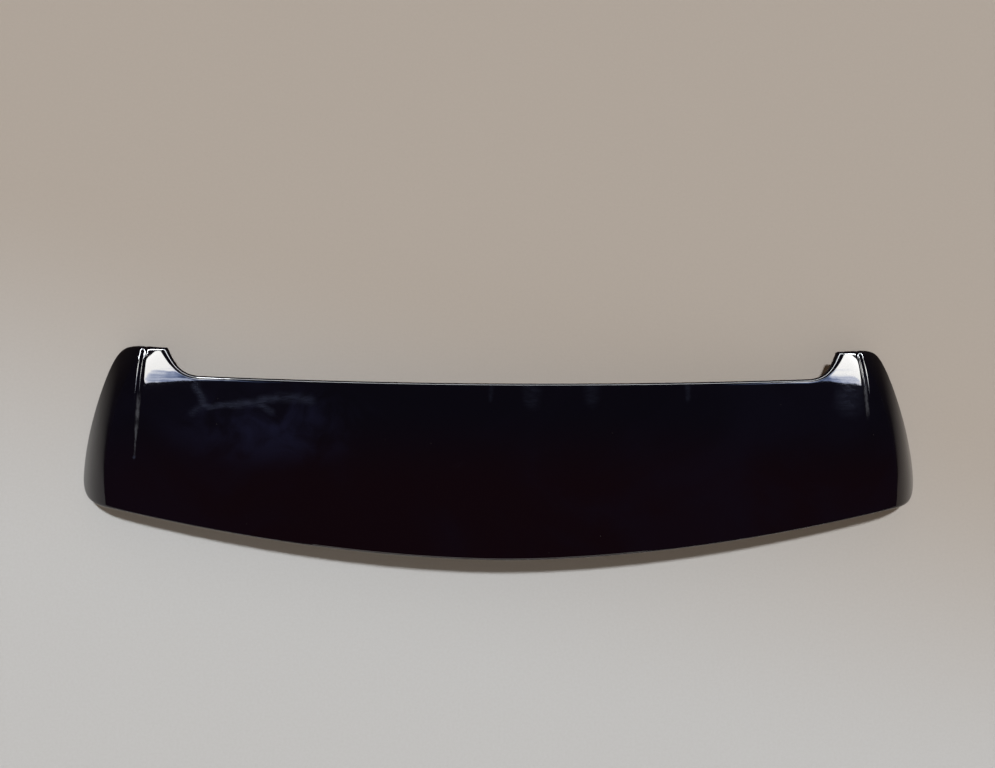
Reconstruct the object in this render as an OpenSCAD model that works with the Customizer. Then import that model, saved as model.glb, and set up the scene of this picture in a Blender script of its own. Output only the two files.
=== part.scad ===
// Rear roof spoiler for the tailgate of an estate car.
// X runs across the car, Y points forward, Z is up. The part stands on the feet of its
// side walls, and the origin lies on that plane, under the middle of the whole part.
// Chord stations are measured forward from the middle of the trailing edge.

/* [Overall] */
// Width over the feet of the two side walls
span = 1222; // [1120:2:1320]
// Chord at the middle, from the trailing edge to the leading edge
chord = 249; // [225:1:280]
// Height of the top at the middle above the feet of the side walls
height = 114; // [106:1:130]
// Fall of the top from the middle to each crease
crown = 25; // [15:1:32]
// Fall of the top from mid chord to the leading edge
camber = 4; // [1:0.5:6]
// Wall of the outer skin
skin_t = 3; // [2.4:0.1:3.6]

/* [Trailing edge] */
// How far the trailing edge sweeps forward at its corners
sweep = 76; // [60:1:95]
// Depth of the trailing lip
lip_rear = 14; // [12:0.5:20]
// Radius along the top of the trailing lip
lip_rear_r = 3; // [2:0.5:4]
// Rounding of each rear corner, measured across the car
rear_corner = 51; // [42:1:62]

/* [Leading edge] */
// How far the leading edge runs forward towards the horns
lead_bow = 12; // [4:1:20]
// Depth of the leading lip
lip_front = 17; // [15:0.5:22]
// Radius along the top of the leading lip
lip_front_r = 7; // [5:0.5:9]

/* [Horns] */
// Reach of the horns in front of the leading edge
horn_reach = 57; // [45:1:70]
// Width of a horn between its inner edge and its outer corner
horn_w = 63; // [58:1:72]
// Distance from a horn's inner edge to the side of the part
horn_inset = 124; // [119:1:129]
// Width of the hollow curve between the leading edge and a horn
throat_w = 51; // [40:1:62]
// Fall of a horn towards its tip
horn_fall = 12; // [6:1:16]
// Forward bulge of the outer horn corner
horn_bulge = 7; // [3:1:12]

/* [Creases] */
// Distance from each crease to the side of the part, at the horn tip
crease_inset = 92; // [87:1:97]
// How far each crease moves outwards from its front to its rear end
crease_toe = 7; // [0:1:14]
// Depth of the crease at the horn tip
crease_depth = 4; // [2:0.5:5]
// Half width of the crease
crease_half = 5; // [4:0.5:7]

/* [Side walls] */
// Chord station at which the part is widest
wide_y = 128; // [120:1:140]
// Chord station at which the front corner rounding starts
front_corner_y = 250; // [240:1:258]
// Narrowing from the widest station to the front corner
side_taper = 19; // [12:1:25]
// Width in plan over which the top rolls down into a side wall
roll_w = 82; // [74:1:90]
// Sharpness of that roll
roll_power = 2.5; // [2.2:0.1:2.8]
// Height of the upright hem along the foot of a side wall
hem_h = 6; // [5:0.5:8]

/* [Inner panel] */
// Wall of the inner panel
panel_t = 2.5; // [2:0.1:3]
// Room for the bonding bead between the two skins
bond_gap = 0.8; // [0.7:0.05:0.9]
// How far the panel lies under the outer skin over most of its area
panel_drop = 30; // [26:1:34]
// Width over which the panel dips from its rim to that depth
panel_band = 34; // [30:1:38]
// Distance from the side of the part to the panel's edge
panel_inset = 36; // [32:1:42]
// Depth of the two pressed stiffening beads
bead_depth = 4; // [2:0.5:6]
// Length of the stiffening beads on each side of the middle
bead_reach = 430; // [380:2:450]

/* [Studs] */
// Radius of a stud
stud_r = 3; // [2.5:0.5:4]
// Length of a stud below its washer
stud_reach = 20; // [14:1:24]
// Chamfer at the end of a stud
stud_chamfer = 0.8; // [0.4:0.1:1.2]
// Step from a stud's thread out to its plain neck
neck_step = 0.5; // [0.3:0.1:0.8]
// Distance from the middle to the outer studs
outer_stud_x = 380; // [350:2:400]
// Distance from the middle to the inner studs
inner_stud_x = 130; // [100:2:180]
// Chord station of the front row of studs
front_stud_y = 188; // [184:1:192]
// Distance between the front and the rear row of studs
stud_rows = 84; // [78:1:90]
// Height of the seats of the outer studs
outer_seat_z = 52; // [46:1:56]
// Height of the seats of the inner studs
inner_seat_z = 66; // [60:1:70]
// Radius of a stud boss
boss_r = 13; // [11:0.5:16]
// Clearance of a stud's neck in its boss
stud_clear = 0.3; // [0.2:0.05:0.5]
// Width of a stud's square head
stud_head_w = 14; // [12:0.5:16]
// Thickness of a stud's head
stud_head_t = 4; // [3:0.5:5]
// Thickness of the foam washer under each boss
washer_t = 3; // [2:0.5:4]

/* [Clips and seals] */
// Distance from each retaining clip to the side of the part
clip_inset = 141; // [135:1:149]
// Distance from the horn tips back to the retaining clips
clip_setback = 69; // [63:1:75]
// Radius of a clip's stem
clip_r = 3.5; // [3:0.5:4.5]
// Length of a clip's stem below its boss
clip_reach = 17; // [14:1:20]
// Height of the clip bosses' lower ends
clip_seat_z = 44; // [40:1:50]
// Width of the foam seals
seal_w = 10; // [8:0.5:12]
// Thickness of the foam seals
seal_t = 4; // [3:0.5:5]

/* [Hidden] */

half = span / 2;
trail_x = half - rear_corner;
horn_x = half - horn_inset;
lead_x = horn_x - throat_w;
tip_x = horn_x + horn_w;
tip_y = chord + horn_reach;
clip_x = half - clip_inset;
clip_y = tip_y - clip_setback;
neck_r = stud_r + neck_step;
trail_power = 1.8;
taper_power = 1.8;
fade_power = 1.5;
round_fn = 48;
tiny = 0.01;

// Shares that set the pull of the curves at the throat and at the corners
throat_start = [0.62, 0.15];
throat_end = [0.18, 0.3];
front_pull = 0.4;
front_turn = 0.46;
rear_pull = 0.62;
rear_turn = 0.55;

// Plan curves, all for the right half

function trail_y(x) = sweep * pow(max(x, 0) / trail_x, trail_power);
function lead_y(x) = chord + lead_bow * pow(x / lead_x, 2);
function side_x(y) =
    half - side_taper * pow(abs(y - wide_y) / (front_corner_y - wide_y), taper_power);
function crease_x(y) = half - crease_inset + crease_toe * (tip_y - y) / tip_y;

function unit_clamp(t) = min(max(t, 0), 1);
function smooth(t) = let(u = unit_clamp(t)) u * u * (3 - 2 * u);
function mix(a, b, t) = a + (b - a) * t;
function bezier(p, t) = p[0] * pow(1 - t, 3) + 3 * p[1] * pow(1 - t, 2) * t
    + 3 * p[2] * (1 - t) * t * t + p[3] * pow(t, 3);

// Height of the top before its side walls roll down
function shoulder_z(x, y) = height - crown * pow(x / (half - crease_inset), 2)
    - camber * pow(2 * y / chord - 1, 2)
    - horn_fall * pow(max(y - chord, 0) / horn_reach, 2);

// Share of the fall to the hem, one at the side line and none a roll width inside it
function roll(x, y) = pow(1 - unit_clamp((side_x(y) - abs(x)) / roll_w), roll_power);
function plain_z(x, y) =
    let(z = shoulder_z(x, y))
    z - (z - hem_h) * roll(x, y);

// The crease is a vee that is deepest at the horn tip and fades towards the rear
function crease_z(x, y) = crease_depth * pow(unit_clamp(y / tip_y), fade_power)
    * max(0, 1 - abs(abs(x) - crease_x(y)) / crease_half);
function top_z(x, y) = plain_z(x, y) - crease_z(x, y);

// Height that one millimetre square to the top takes up, from slopes over twice the probe
probe = 0.5;
function steep(x, y) = norm([
    (plain_z(x + probe, y) - plain_z(x - probe, y)) / (2 * probe),
    (plain_z(x, y + probe) - plain_z(x, y - probe)) / (2 * probe),
    1]);
function under_z(x, y, depth) = top_z(x, y) - depth * steep(x, y);

// Column stations from the middle outwards, the same number at the front and at the rear
lead_steps = 9;
throat_steps = 7;
horn_steps = 5;
corner_steps = 8;
side_steps = 3;
pole_y = (wide_y + front_corner_y) / 2;

// Edge and side say how far a curve lies inside the outline of the part
function horn_front_y(x, edge) =
    tip_y + horn_bulge * smooth((x - horn_x) / horn_w) - edge;

function horn_stations(edge, side, creased) =
    let(first = horn_x + edge, last = tip_x - side, line = half - crease_inset)
    creased
    ? [mix(first, line - crease_half, 0.5), line - crease_half, line, line + crease_half,
       for (i = [1:horn_steps]) mix(line + crease_half, last, i / horn_steps)]
    : [for (i = [1:horn_steps + 1]) mix(first, last, i / (horn_steps + 1))];

// Hollow curve from the leading edge to a horn's inner corner
function throat_curve(edge) = [
    [lead_x, lead_y(lead_x) - edge],
    [lead_x + throat_w * throat_start[0], lead_y(lead_x) + lead_bow * throat_start[1] - edge],
    [horn_x - throat_w * throat_end[0] + edge, tip_y - horn_reach * throat_end[1] - edge],
    [horn_x + edge, tip_y - edge]];

// Share along a curve at which it reaches x, by halving
halvings = 16;
function share_at(curve, x, low = 0, high = 1, left = halvings) =
    let(middle = (low + high) / 2)
    left == 0 ? middle
    : bezier(curve, middle)[0] < x ? share_at(curve, x, middle, high, left - 1)
    : share_at(curve, x, low, middle, left - 1);

function front_path(edge, side, creased) =
    let(
        throat = throat_curve(edge),
        turn_y = front_corner_y + horn_reach * front_turn,
        corner = [
            [tip_x - side, horn_front_y(tip_x - side, edge)],
            [tip_x - side + horn_w * front_pull, horn_front_y(tip_x - side, edge)],
            [side_x(turn_y) - side, turn_y],
            [side_x(front_corner_y) - side, front_corner_y]])
    [
        for (i = [0:lead_steps])
            let(x = lead_x * i / lead_steps)
            [x, lead_y(x) - edge],
        for (i = [1:throat_steps]) bezier(throat, i / throat_steps),
        for (x = horn_stations(edge, side, creased)) [x, horn_front_y(x, edge)],
        for (i = [1:corner_steps]) bezier(corner, i / corner_steps),
        for (i = [1:side_steps])
            let(y = mix(front_corner_y, pole_y, i / side_steps))
            [side_x(y) - side, y]
    ];

function rear_path(edge, side, creased) =
    let(
        front = front_path(edge, side, creased),
        flat_count = lead_steps + throat_steps + len(horn_stations(edge, side, creased)),
        line = half - crease_inset,
        rear_line = crease_x(trail_y(line)),
        turn = rear_line + crease_half,
        last = front[flat_count][0],
        end_x = trail_x - side,
        pull = rear_corner * rear_pull,
        corner = [
            [end_x, trail_y(end_x) + edge],
            [end_x + pull, trail_y(end_x) + edge + pull * sweep * trail_power / trail_x],
            [half - side, mix(wide_y, sweep, rear_turn)],
            [half - side, wide_y]])
    [
        for (i = [0:flat_count])
            let(
                x0 = front[i][0],
                x = x0 <= line + crease_half + tiny && last > line + crease_half
                    ? x0 * rear_line / line
                    : last > line + crease_half
                    ? mix(turn, end_x, (x0 - line - crease_half) / (last - line - crease_half))
                    : x0 * end_x / last)
            [x, trail_y(x) + edge],
        for (i = [1:corner_steps]) bezier(corner, i / corner_steps),
        for (i = [1:side_steps])
            let(y = mix(wide_y, pole_y, i / side_steps))
            [side_x(y) - side, y]
    ];

// Unit normals of a path that point away from the part, with turn 1 at the front, -1 at the rear
function path_normals(path, turn) = [
    for (i = [0:len(path) - 1])
        let(
            before = i == 0 ? [-path[1][0], path[1][1]] : path[i - 1],
            after = i == len(path) - 1 ? path[i] * 2 - path[i - 1] : path[i + 1],
            along = after - before)
        i == len(path) - 1 ? [1, 0] : turn * [-along[1], along[0]] / norm(along)
];

// Index of a point in a grid of columns whose two end columns have shrunk to a point
function grid_index(j, i, last, rows, rings) =
    let(k = i < rings ? i : i >= rows - rings ? rows - 1 - i : rings - 1)
    j == 0 ? k
    : j == last ? rings + (last - 1) * rows + k
    : rings + (j - 1) * rows + i;

function sound(face) = face[0] != face[1] && face[1] != face[2] && face[2] != face[0];

function grid_faces(last, rows, rings, start, upward) = [
    for (j = [0:last - 1])
        for (i = [0:rows - 2])
            let(
                a = start + grid_index(j, i, last, rows, rings),
                b = start + grid_index(j + 1, i, last, rows, rings),
                c = start + grid_index(j + 1, i + 1, last, rows, rings),
                d = start + grid_index(j, i + 1, last, rows, rings),
                pair = 2 * j < last ? [[a, d, b], [d, c, b]] : [[a, d, c], [a, c, b]])
            for (face = pair)
                if (sound(face)) upward ? face : reversed(face)
];

function rim_loop(last, rows, rings, start) = [
    for (j = [0:last]) start + grid_index(j, 0, last, rows, rings),
    for (j = [last - 1:-1:1]) start + grid_index(j, rows - 1, last, rows, rings)
];

function rim_faces(outer, inner) = [
    for (k = [0:len(outer) - 1])
        let(n = (k + 1) % len(outer))
        for (face = [[outer[k], outer[n], inner[n]], [outer[k], inner[n], inner[k]]]) face
];

// Grid points from the columns of the right half, each a list of points from rear to front
function mirrored(column) = [for (p = column) [-p[0], p[1], p[2]]];
function grid_points(columns, rings) =
    let(m = len(columns) - 1)
    [
        for (i = [0:rings - 1]) mirrored(columns[m])[i],
        for (j = [m - 1:-1:1]) for (p = mirrored(columns[j])) p,
        for (j = [0:m - 1]) for (p = columns[j]) p,
        for (i = [0:rings - 1]) columns[m][i]
    ];

module two_sided_shell(upper, lower, upper_rings, lower_rings) {
    last = 2 * (len(upper) - 1);
    upper_points = grid_points(upper, upper_rings);
    start = len(upper_points);
    polyhedron(
        points = concat(upper_points, grid_points(lower, lower_rings)),
        faces = concat(
            grid_faces(last, len(upper[0]), upper_rings, 0, true),
            grid_faces(last, len(lower[0]), lower_rings, start, false),
            rim_faces(
                rim_loop(last, len(upper[0]), upper_rings, 0),
                rim_loop(last, len(lower[0]), lower_rings, start))));
}

// Moves chord stations so that the middle of the part lies over the origin
module placed() {
    translate([0, -(tip_y + horn_bulge) / 2, 0]) children();
}

// Outer skin

edge_angles = [0, 30, 60, 90];
top_shares = [0.1, 0.24, 0.37, 0.5, 0.62, 0.74, 0.85, 0.93];
under_shares = [0.12, 0.3, 0.5, 0.68, 0.82, 0.92];
top_rings = len(edge_angles) + 1;
under_rings = 3;
wall_turn = [0.15, 0.7];

function rim_z(p, lip) = max(0, plain_z(p[0], p[1]) - lip);
function flat(p) = [p[0], p[1]];

// From the foot of the lip up its wall and round its radius onto the top
function top_edge(p, normal, r, lip) = [
    [p[0], p[1], rim_z(p, lip)],
    for (a = edge_angles)
        let(q = p - normal * r * (1 - cos(a)))
        [q[0], q[1], top_z(q[0], q[1]) - r * (1 - sin(a))]
];

// From the foot of the lip up its inner wall and onto the underside of the top
function under_edge(p, normal, r, lip) =
    let(
        foot = p - normal * skin_t,
        turn = p - normal * (skin_t + wall_turn[0] * r),
        end = p - normal * (skin_t + r),
        end_z = under_z(end[0], end[1], skin_t),
        low = rim_z(p, lip))
    [
        [foot[0], foot[1], low],
        [turn[0], turn[1], mix(low, end_z, wall_turn[1])],
        [end[0], end[1], end_z]
    ];

function reversed(list) = [for (i = [len(list) - 1:-1:0]) list[i]];

module outer_skin() {
    front = front_path(0, 0, true);
    rear = rear_path(0, 0, true);
    front_out = path_normals(front, 1);
    rear_out = path_normals(rear, -1);
    last = len(front) - 1;
    bend = last - corner_steps - side_steps;
    front_r = [
        for (j = [0:last])
            mix(lip_front_r, lip_rear_r, unit_clamp((j - bend) / (last - bend)))];
    top_columns = [
        for (j = [0:last])
            let(
                back_edge = top_edge(rear[j], rear_out[j], lip_rear_r, lip_rear),
                front_edge = top_edge(front[j], front_out[j], front_r[j], lip_front),
                a = flat(back_edge[top_rings - 1]),
                b = flat(front_edge[top_rings - 1]))
            [
                for (p = back_edge) p,
                for (t = top_shares)
                    let(q = mix(a, b, t))
                    [q[0], q[1], top_z(q[0], q[1])],
                for (p = reversed(front_edge)) p
            ]];
    under_columns = [
        for (j = [0:last])
            let(
                back_edge = under_edge(rear[j], rear_out[j], lip_rear_r, lip_rear),
                front_edge = under_edge(front[j], front_out[j], front_r[j], lip_front),
                a = flat(back_edge[under_rings - 1]),
                b = flat(front_edge[under_rings - 1]))
            [
                for (p = back_edge) p,
                for (t = under_shares)
                    let(q = mix(a, b, t))
                    [q[0], q[1], under_z(q[0], q[1], skin_t)],
                for (p = reversed(front_edge)) p
            ]];
    color([0.05, 0.045, 0.06])
        placed() two_sided_shell(top_columns, under_columns, top_rings, under_rings);
}

// Inner panel

panel_edge = skin_t + bond_gap;
flange_w = 16;
edge_fade = 0.4;
flush_step = 1;
head_seat = 2;
band_shares = [0, 0.33, 0.66, 1];
bead_shares = [0.29, 0.36, 0.43, 0.53, 0.6, 0.67];
column_room = 170;

// The underside of the outer skin with its crease filled in to its full depth
function lining_z(x, y) =
    plain_z(x, y) - (skin_t + bond_gap) * steep(x, y)
    - crease_depth * pow(unit_clamp(y / tip_y), fade_power)
    * smooth((crease_x(y) + 3 * crease_half - abs(x)) / crease_half);

// Fall from the lining to the panel's edge, which sits in the lip and meets the side walls
function edge_fall(p, lip) =
    let(away = smooth((abs(p[0]) - (trail_x - panel_inset)) / (rear_corner * edge_fade)))
    (1 - away) * max(0, lining_z(p[0], p[1])
        - (plain_z(p[0], p[1]) - lip + flush_step + panel_t));

function panel_dip(x, y, rear_y, front_y) =
    smooth((y - rear_y - flange_w) / panel_band)
    * smooth((front_y - y - flange_w) / panel_band)
    * smooth((side_x(y) - panel_inset - abs(x) - flange_w) / panel_band);

function panel_top_z(x, y, rear, front) =
    let(
        share = unit_clamp((y - rear[1]) / max(front[1] - rear[1], tiny)),
        dip = panel_dip(x, y, rear[1], front[1]),
        fall = mix(edge_fall(rear, lip_rear), edge_fall(front, lip_front), share))
    lining_z(x, y) - fall * (1 - dip) - panel_drop * dip;

// Same, for a place behind the leading edge, the throat or a horn, found without a column
function panel_front(x) =
    let(throat = throat_curve(panel_edge))
    [x, x <= lead_x ? lead_y(x) - panel_edge
        : x < horn_x + panel_edge ? bezier(throat, share_at(throat, x))[1]
        : horn_front_y(x, panel_edge)];
function panel_top_at(x, y) =
    panel_top_z(x, y, [x, trail_y(x) + panel_edge], panel_front(x));
function panel_under_at(x, y) = panel_top_at(x, y) - panel_t * steep(x, y);

module panel_sheet() {
    front = front_path(panel_edge, panel_inset, false);
    rear = rear_path(panel_edge, panel_inset, false);
    last = len(front) - 1;
    columns = [
        for (j = [0:last])
            let(
                a = rear[j],
                b = front[j],
                span_y = norm(b - a),
                scale_y = min(1, span_y / column_room),
                band = [0, for (t = band_shares) (flange_w + t * panel_band) * scale_y],
                inner = band[len(band) - 1],
                stations = [
                    for (d = band) d,
                    for (t = bead_shares) mix(inner, span_y - inner, t),
                    for (d = reversed(band)) span_y - d])
            [
                for (i = [0:len(stations) - 1])
                    let(
                        q = mix(a, b, span_y > 0 ? stations[i] / span_y : 0),
                        on_bead = i == len(band) + 1 || i == len(band) + 4,
                        bead = on_bead ? bead_depth * smooth((bead_reach - q[0]) / flange_w) : 0)
                    [q[0], q[1], panel_top_z(q[0], q[1], a, b) - bead]
            ]];
    lower = [
        for (column = columns)
            [for (p = column) [p[0], p[1], p[2] - panel_t * steep(p[0], p[1])]]];
    two_sided_shell(columns, lower, 1, 1);
}

// Stud places, the outer four in a rectangle and the inner two in a line
stud_places = [
    [-outer_stud_x, front_stud_y, outer_seat_z],
    [outer_stud_x, front_stud_y, outer_seat_z],
    [-outer_stud_x, front_stud_y - stud_rows, outer_seat_z],
    [outer_stud_x, front_stud_y - stud_rows, outer_seat_z],
    [-inner_stud_x, front_stud_y, inner_seat_z],
    [inner_stud_x, front_stud_y, inner_seat_z]];

function head_z(place) = panel_top_at(abs(place[0]), place[1]) + head_seat;

gusset_t = 2;
gusset_reach = 12;
gusset_step = 3;

module boss(place) {
    top = head_z(place);
    translate([place[0], place[1], place[2]])
        cylinder(h = top - place[2], r = boss_r, $fn = round_fn);
    for (a = [45:90:315])
        translate([place[0], place[1], 0])
            rotate([0, 0, a])
                rotate([90, 0, 0])
                    translate([0, 0, -gusset_t / 2])
                        linear_extrude(gusset_t)
                            polygon([
                                [boss_r - 1, place[2] + gusset_step],
                                [boss_r + gusset_reach, top - head_seat - panel_t],
                                [boss_r + gusset_reach, top - head_seat - panel_t / 2],
                                [boss_r - 1, top - head_seat - panel_t / 2]]);
}

clip_boss_r = 9;
clip_neck_h = 8;
clip_flange_r = 8;
clip_flange_t = 2;
clip_fins = 3;
clip_core = 0.62;
fin_levels = [0.4, 0.6, 1.2];
clip_boss_top = panel_top_at(clip_x, clip_y) - panel_t / 2;

module inner_panel() {
    color([0.12, 0.12, 0.13])
        placed() difference() {
            union() {
                panel_sheet();
                for (place = stud_places) boss(place);
                for (side = [-1, 1])
                    translate([side * clip_x, clip_y, clip_seat_z])
                        cylinder(h = clip_boss_top - clip_seat_z, r = clip_boss_r, $fn = round_fn);
            }
            for (place = stud_places)
                translate([place[0], place[1], place[2] - 1])
                    cylinder(h = head_z(place) - place[2] + 2, r = neck_r + stud_clear,
                        $fn = round_fn);
            for (side = [-1, 1])
                translate([side * clip_x, clip_y, clip_seat_z - 1])
                    cylinder(h = clip_neck_h + 1 + stud_clear, r = clip_r + stud_clear,
                        $fn = round_fn);
        }
}

// Studs, washers and clips

module stud(place) {
    seat = head_z(place);
    neck_z = place[2] - washer_t;
    low = neck_z - stud_reach;
    color([0.75, 0.75, 0.72])
        placed() translate([place[0], place[1], 0])
            union() {
                translate([-stud_head_w / 2, -stud_head_w / 2, seat])
                    cube([stud_head_w, stud_head_w, stud_head_t]);
                translate([0, 0, neck_z])
                    cylinder(h = seat - neck_z + stud_head_t / 2, r = neck_r, $fn = round_fn);
                translate([0, 0, low + stud_chamfer])
                    cylinder(h = stud_reach, r = stud_r, $fn = round_fn);
                translate([0, 0, low])
                    cylinder(h = stud_chamfer, r1 = stud_r - stud_chamfer, r2 = stud_r,
                        $fn = round_fn);
            }
}

module stud_washer(place) {
    color([0.2, 0.2, 0.2])
        placed() translate([place[0], place[1], place[2] - washer_t])
            difference() {
                cylinder(h = washer_t, r = boss_r, $fn = round_fn);
                translate([0, 0, -1])
                    cylinder(h = washer_t + 2, r = neck_r + stud_clear, $fn = round_fn);
            }
}

module retaining_clip(side) {
    fin_h = clip_reach / (clip_fins + 1);
    clip_core_r = clip_r * clip_core;
    color([0.88, 0.87, 0.82])
        placed() translate([side * clip_x, clip_y, clip_seat_z])
            rotate_extrude($fn = round_fn)
                polygon([
                    [0, clip_neck_h],
                    [clip_r, clip_neck_h],
                    [clip_r, 0],
                    [clip_flange_r, 0],
                    [clip_flange_r, -clip_flange_t],
                    for (i = [0:clip_fins - 1])
                        for (corner = [
                            [clip_core_r, -clip_flange_t - fin_h * (i + fin_levels[0])],
                            [clip_r, -clip_flange_t - fin_h * (i + fin_levels[1])],
                            [clip_core_r, -clip_flange_t - fin_h * (i + fin_levels[2])]]) corner,
                    [clip_core_r / 2, -clip_flange_t - clip_reach],
                    [0, -clip_flange_t - clip_reach]]);
}

// Seals and pads are strips swept along the part, four points to a section

module strip(sections) {
    n = len(sections);
    polyhedron(
        points = [for (s = sections) for (p = s) p],
        faces = [
            for (i = [0:n - 2])
                for (k = [0:3])
                    let(
                        a = 4 * i + k,
                        b = 4 * i + (k + 1) % 4,
                        c = a + 4,
                        d = b + 4)
                    for (face = [[a, b, d], [a, d, c]]) face,
            [0, 3, 2],
            [0, 2, 1],
            [4 * n - 4, 4 * n - 3, 4 * n - 2],
            [4 * n - 4, 4 * n - 2, 4 * n - 1]]);
}

seal_gap = 0.3;
side_gap = 0.45;
seal_edge = 3;
pad_reach = 18;
pad_margin = 5;
pad_steps = 4;
side_seal_steps = 10;
side_seal_edge = 11;
side_seal_ends = 12;
side_seal_lean = 0.6;

// Underside of the panel's flat flange, a distance inside its front edge
function flange_under_z(x, inside) =
    let(edge_y = panel_front(x)[1])
    mix(panel_under_at(x, edge_y), panel_under_at(x, edge_y - flange_w), inside / flange_w);

module front_seal() {
    color([0.1, 0.1, 0.1])
        placed() strip([
            for (i = [-lead_steps:lead_steps])
                let(
                    x = lead_x * i / lead_steps,
                    far = lead_y(x) - panel_edge - seal_edge,
                    near = far - seal_w,
                    far_z = flange_under_z(abs(x), seal_edge) - seal_gap,
                    near_z = flange_under_z(abs(x), seal_edge + seal_w) - seal_gap)
                [[x, near, near_z], [x, far, far_z],
                 [x, far, far_z - seal_t], [x, near, near_z - seal_t]]]);
}

module side_seal(side) {
    color([0.1, 0.1, 0.1])
        placed() strip([
            for (i = [0:side_seal_steps])
                let(
                    y = mix(wide_y - side_seal_ends, front_corner_y + side_seal_ends,
                        side > 0 ? i / side_seal_steps : 1 - i / side_seal_steps),
                    low_x = side_x(y) - side_seal_edge,
                    high_x = low_x - seal_w * side_seal_lean,
                    top = skin_t + side_gap)
                [[side * low_x, y, under_z(low_x, y, top)],
                 [side * high_x, y, under_z(high_x, y, top)],
                 [side * high_x, y, under_z(high_x, y, top + seal_t)],
                 [side * low_x, y, under_z(low_x, y, top + seal_t)]]]);
}

module horn_pad(side) {
    color([0.1, 0.1, 0.1])
        placed() strip([
            for (i = [0:pad_steps])
                let(
                    first = horn_x + panel_edge + pad_margin,
                    x = mix(first, first + pad_reach,
                        side > 0 ? i / pad_steps : 1 - i / pad_steps),
                    far = horn_front_y(x, panel_edge) - seal_edge,
                    near = far - seal_w,
                    far_z = flange_under_z(x, seal_edge) - seal_gap,
                    near_z = flange_under_z(x, seal_edge + seal_w) - seal_gap)
                [[side * x, near, near_z], [side * x, far, far_z],
                 [side * x, far, far_z - seal_t], [side * x, near, near_z - seal_t]]]);
}

module stud_1() stud(stud_places[0]);
module stud_2() stud(stud_places[1]);
module stud_3() stud(stud_places[2]);
module stud_4() stud(stud_places[3]);
module stud_5() stud(stud_places[4]);
module stud_6() stud(stud_places[5]);
module stud_washer_1() stud_washer(stud_places[0]);
module stud_washer_2() stud_washer(stud_places[1]);
module stud_washer_3() stud_washer(stud_places[2]);
module stud_washer_4() stud_washer(stud_places[3]);
module stud_washer_5() stud_washer(stud_places[4]);
module stud_washer_6() stud_washer(stud_places[5]);
module side_seal_left() side_seal(-1);
module side_seal_right() side_seal(1);
module horn_pad_left() horn_pad(-1);
module horn_pad_right() horn_pad(1);
module retaining_clip_left() retaining_clip(-1);
module retaining_clip_right() retaining_clip(1);

outer_skin();
inner_panel();
front_seal();
side_seal_left();
side_seal_right();
horn_pad_left();
horn_pad_right();
retaining_clip_left();
retaining_clip_right();
stud_1();
stud_2();
stud_3();
stud_4();
stud_5();
stud_6();
stud_washer_1();
stud_washer_2();
stud_washer_3();
stud_washer_4();
stud_washer_5();
stud_washer_6();
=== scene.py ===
# %% [markdown]
# # A rear roof spoiler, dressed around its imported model
#
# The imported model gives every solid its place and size. This lesson builds a finer
# surface for each piece, gives it the finish of the real one, and lights the whole
# so that the black paint reads as paint: by what it mirrors.

import math

import bmesh
import bpy
import numpy as np
from mathutils import Matrix, Vector


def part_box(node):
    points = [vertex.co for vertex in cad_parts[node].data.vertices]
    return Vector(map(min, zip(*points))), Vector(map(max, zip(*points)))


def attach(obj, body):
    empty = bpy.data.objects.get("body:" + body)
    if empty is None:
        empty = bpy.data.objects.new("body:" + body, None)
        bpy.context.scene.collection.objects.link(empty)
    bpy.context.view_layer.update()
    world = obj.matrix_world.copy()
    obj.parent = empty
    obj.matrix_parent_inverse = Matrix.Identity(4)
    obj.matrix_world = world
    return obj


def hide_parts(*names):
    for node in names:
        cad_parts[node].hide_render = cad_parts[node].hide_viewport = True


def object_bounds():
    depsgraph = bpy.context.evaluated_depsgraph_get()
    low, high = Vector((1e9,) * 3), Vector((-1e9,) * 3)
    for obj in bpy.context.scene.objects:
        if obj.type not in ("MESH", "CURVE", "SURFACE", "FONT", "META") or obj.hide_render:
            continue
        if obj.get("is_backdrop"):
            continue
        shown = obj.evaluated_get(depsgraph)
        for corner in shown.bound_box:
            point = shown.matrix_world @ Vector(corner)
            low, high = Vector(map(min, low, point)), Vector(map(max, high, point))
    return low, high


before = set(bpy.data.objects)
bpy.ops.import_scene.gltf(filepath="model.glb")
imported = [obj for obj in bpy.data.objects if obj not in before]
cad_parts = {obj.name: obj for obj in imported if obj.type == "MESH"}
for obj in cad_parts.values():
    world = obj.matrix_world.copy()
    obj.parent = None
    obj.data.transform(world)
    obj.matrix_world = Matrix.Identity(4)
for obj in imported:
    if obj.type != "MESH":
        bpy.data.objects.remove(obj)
cad_low, cad_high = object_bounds()
print("nodes:", len(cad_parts), "size:", [round(v, 4) for v in cad_high - cad_low])

# %% [markdown]
# ## Sizes
#
# A designer draws a spoiler in millimetres, on chord stations that are measured forward
# from the middle of the trailing edge. We keep that habit for every shape and go to
# metres only when a mesh is made. The half width and the middle station come from the
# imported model. The rest are the sizes that the part itself is drawn with, so that one
# changed number moves everything that depends on it.

# %% Driving sizes in millimetres
MM = 0.001
HALF = round(cad_high.x / MM, 3)
MID_STATION = round(cad_high.y / MM, 3)

# the middle section: chord, height over the board, crown across, camber along, wall
CHORD, HEIGHT, CROWN, CAMBER, SKIN_T = 249.0, 114.0, 25.0, 4.0, 3.0
# the trailing edge: sweep of its ends, depth and radius of its lip, rounding of its corner
SWEEP, LIP_REAR, LIP_REAR_R, REAR_CORNER = 76.0, 14.0, 3.0, 51.0
# the leading edge: bow, depth and radius of its lip
LEAD_BOW, LIP_FRONT, LIP_FRONT_R = 12.0, 17.0, 7.0
# a horn: reach, width of its tip, distance from the side, throat, fall and bulge
HORN_REACH, HORN_W, HORN_INSET = 57.0, 63.0, 124.0
THROAT_W, HORN_FALL, HORN_BULGE = 51.0, 12.0, 7.0
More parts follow.
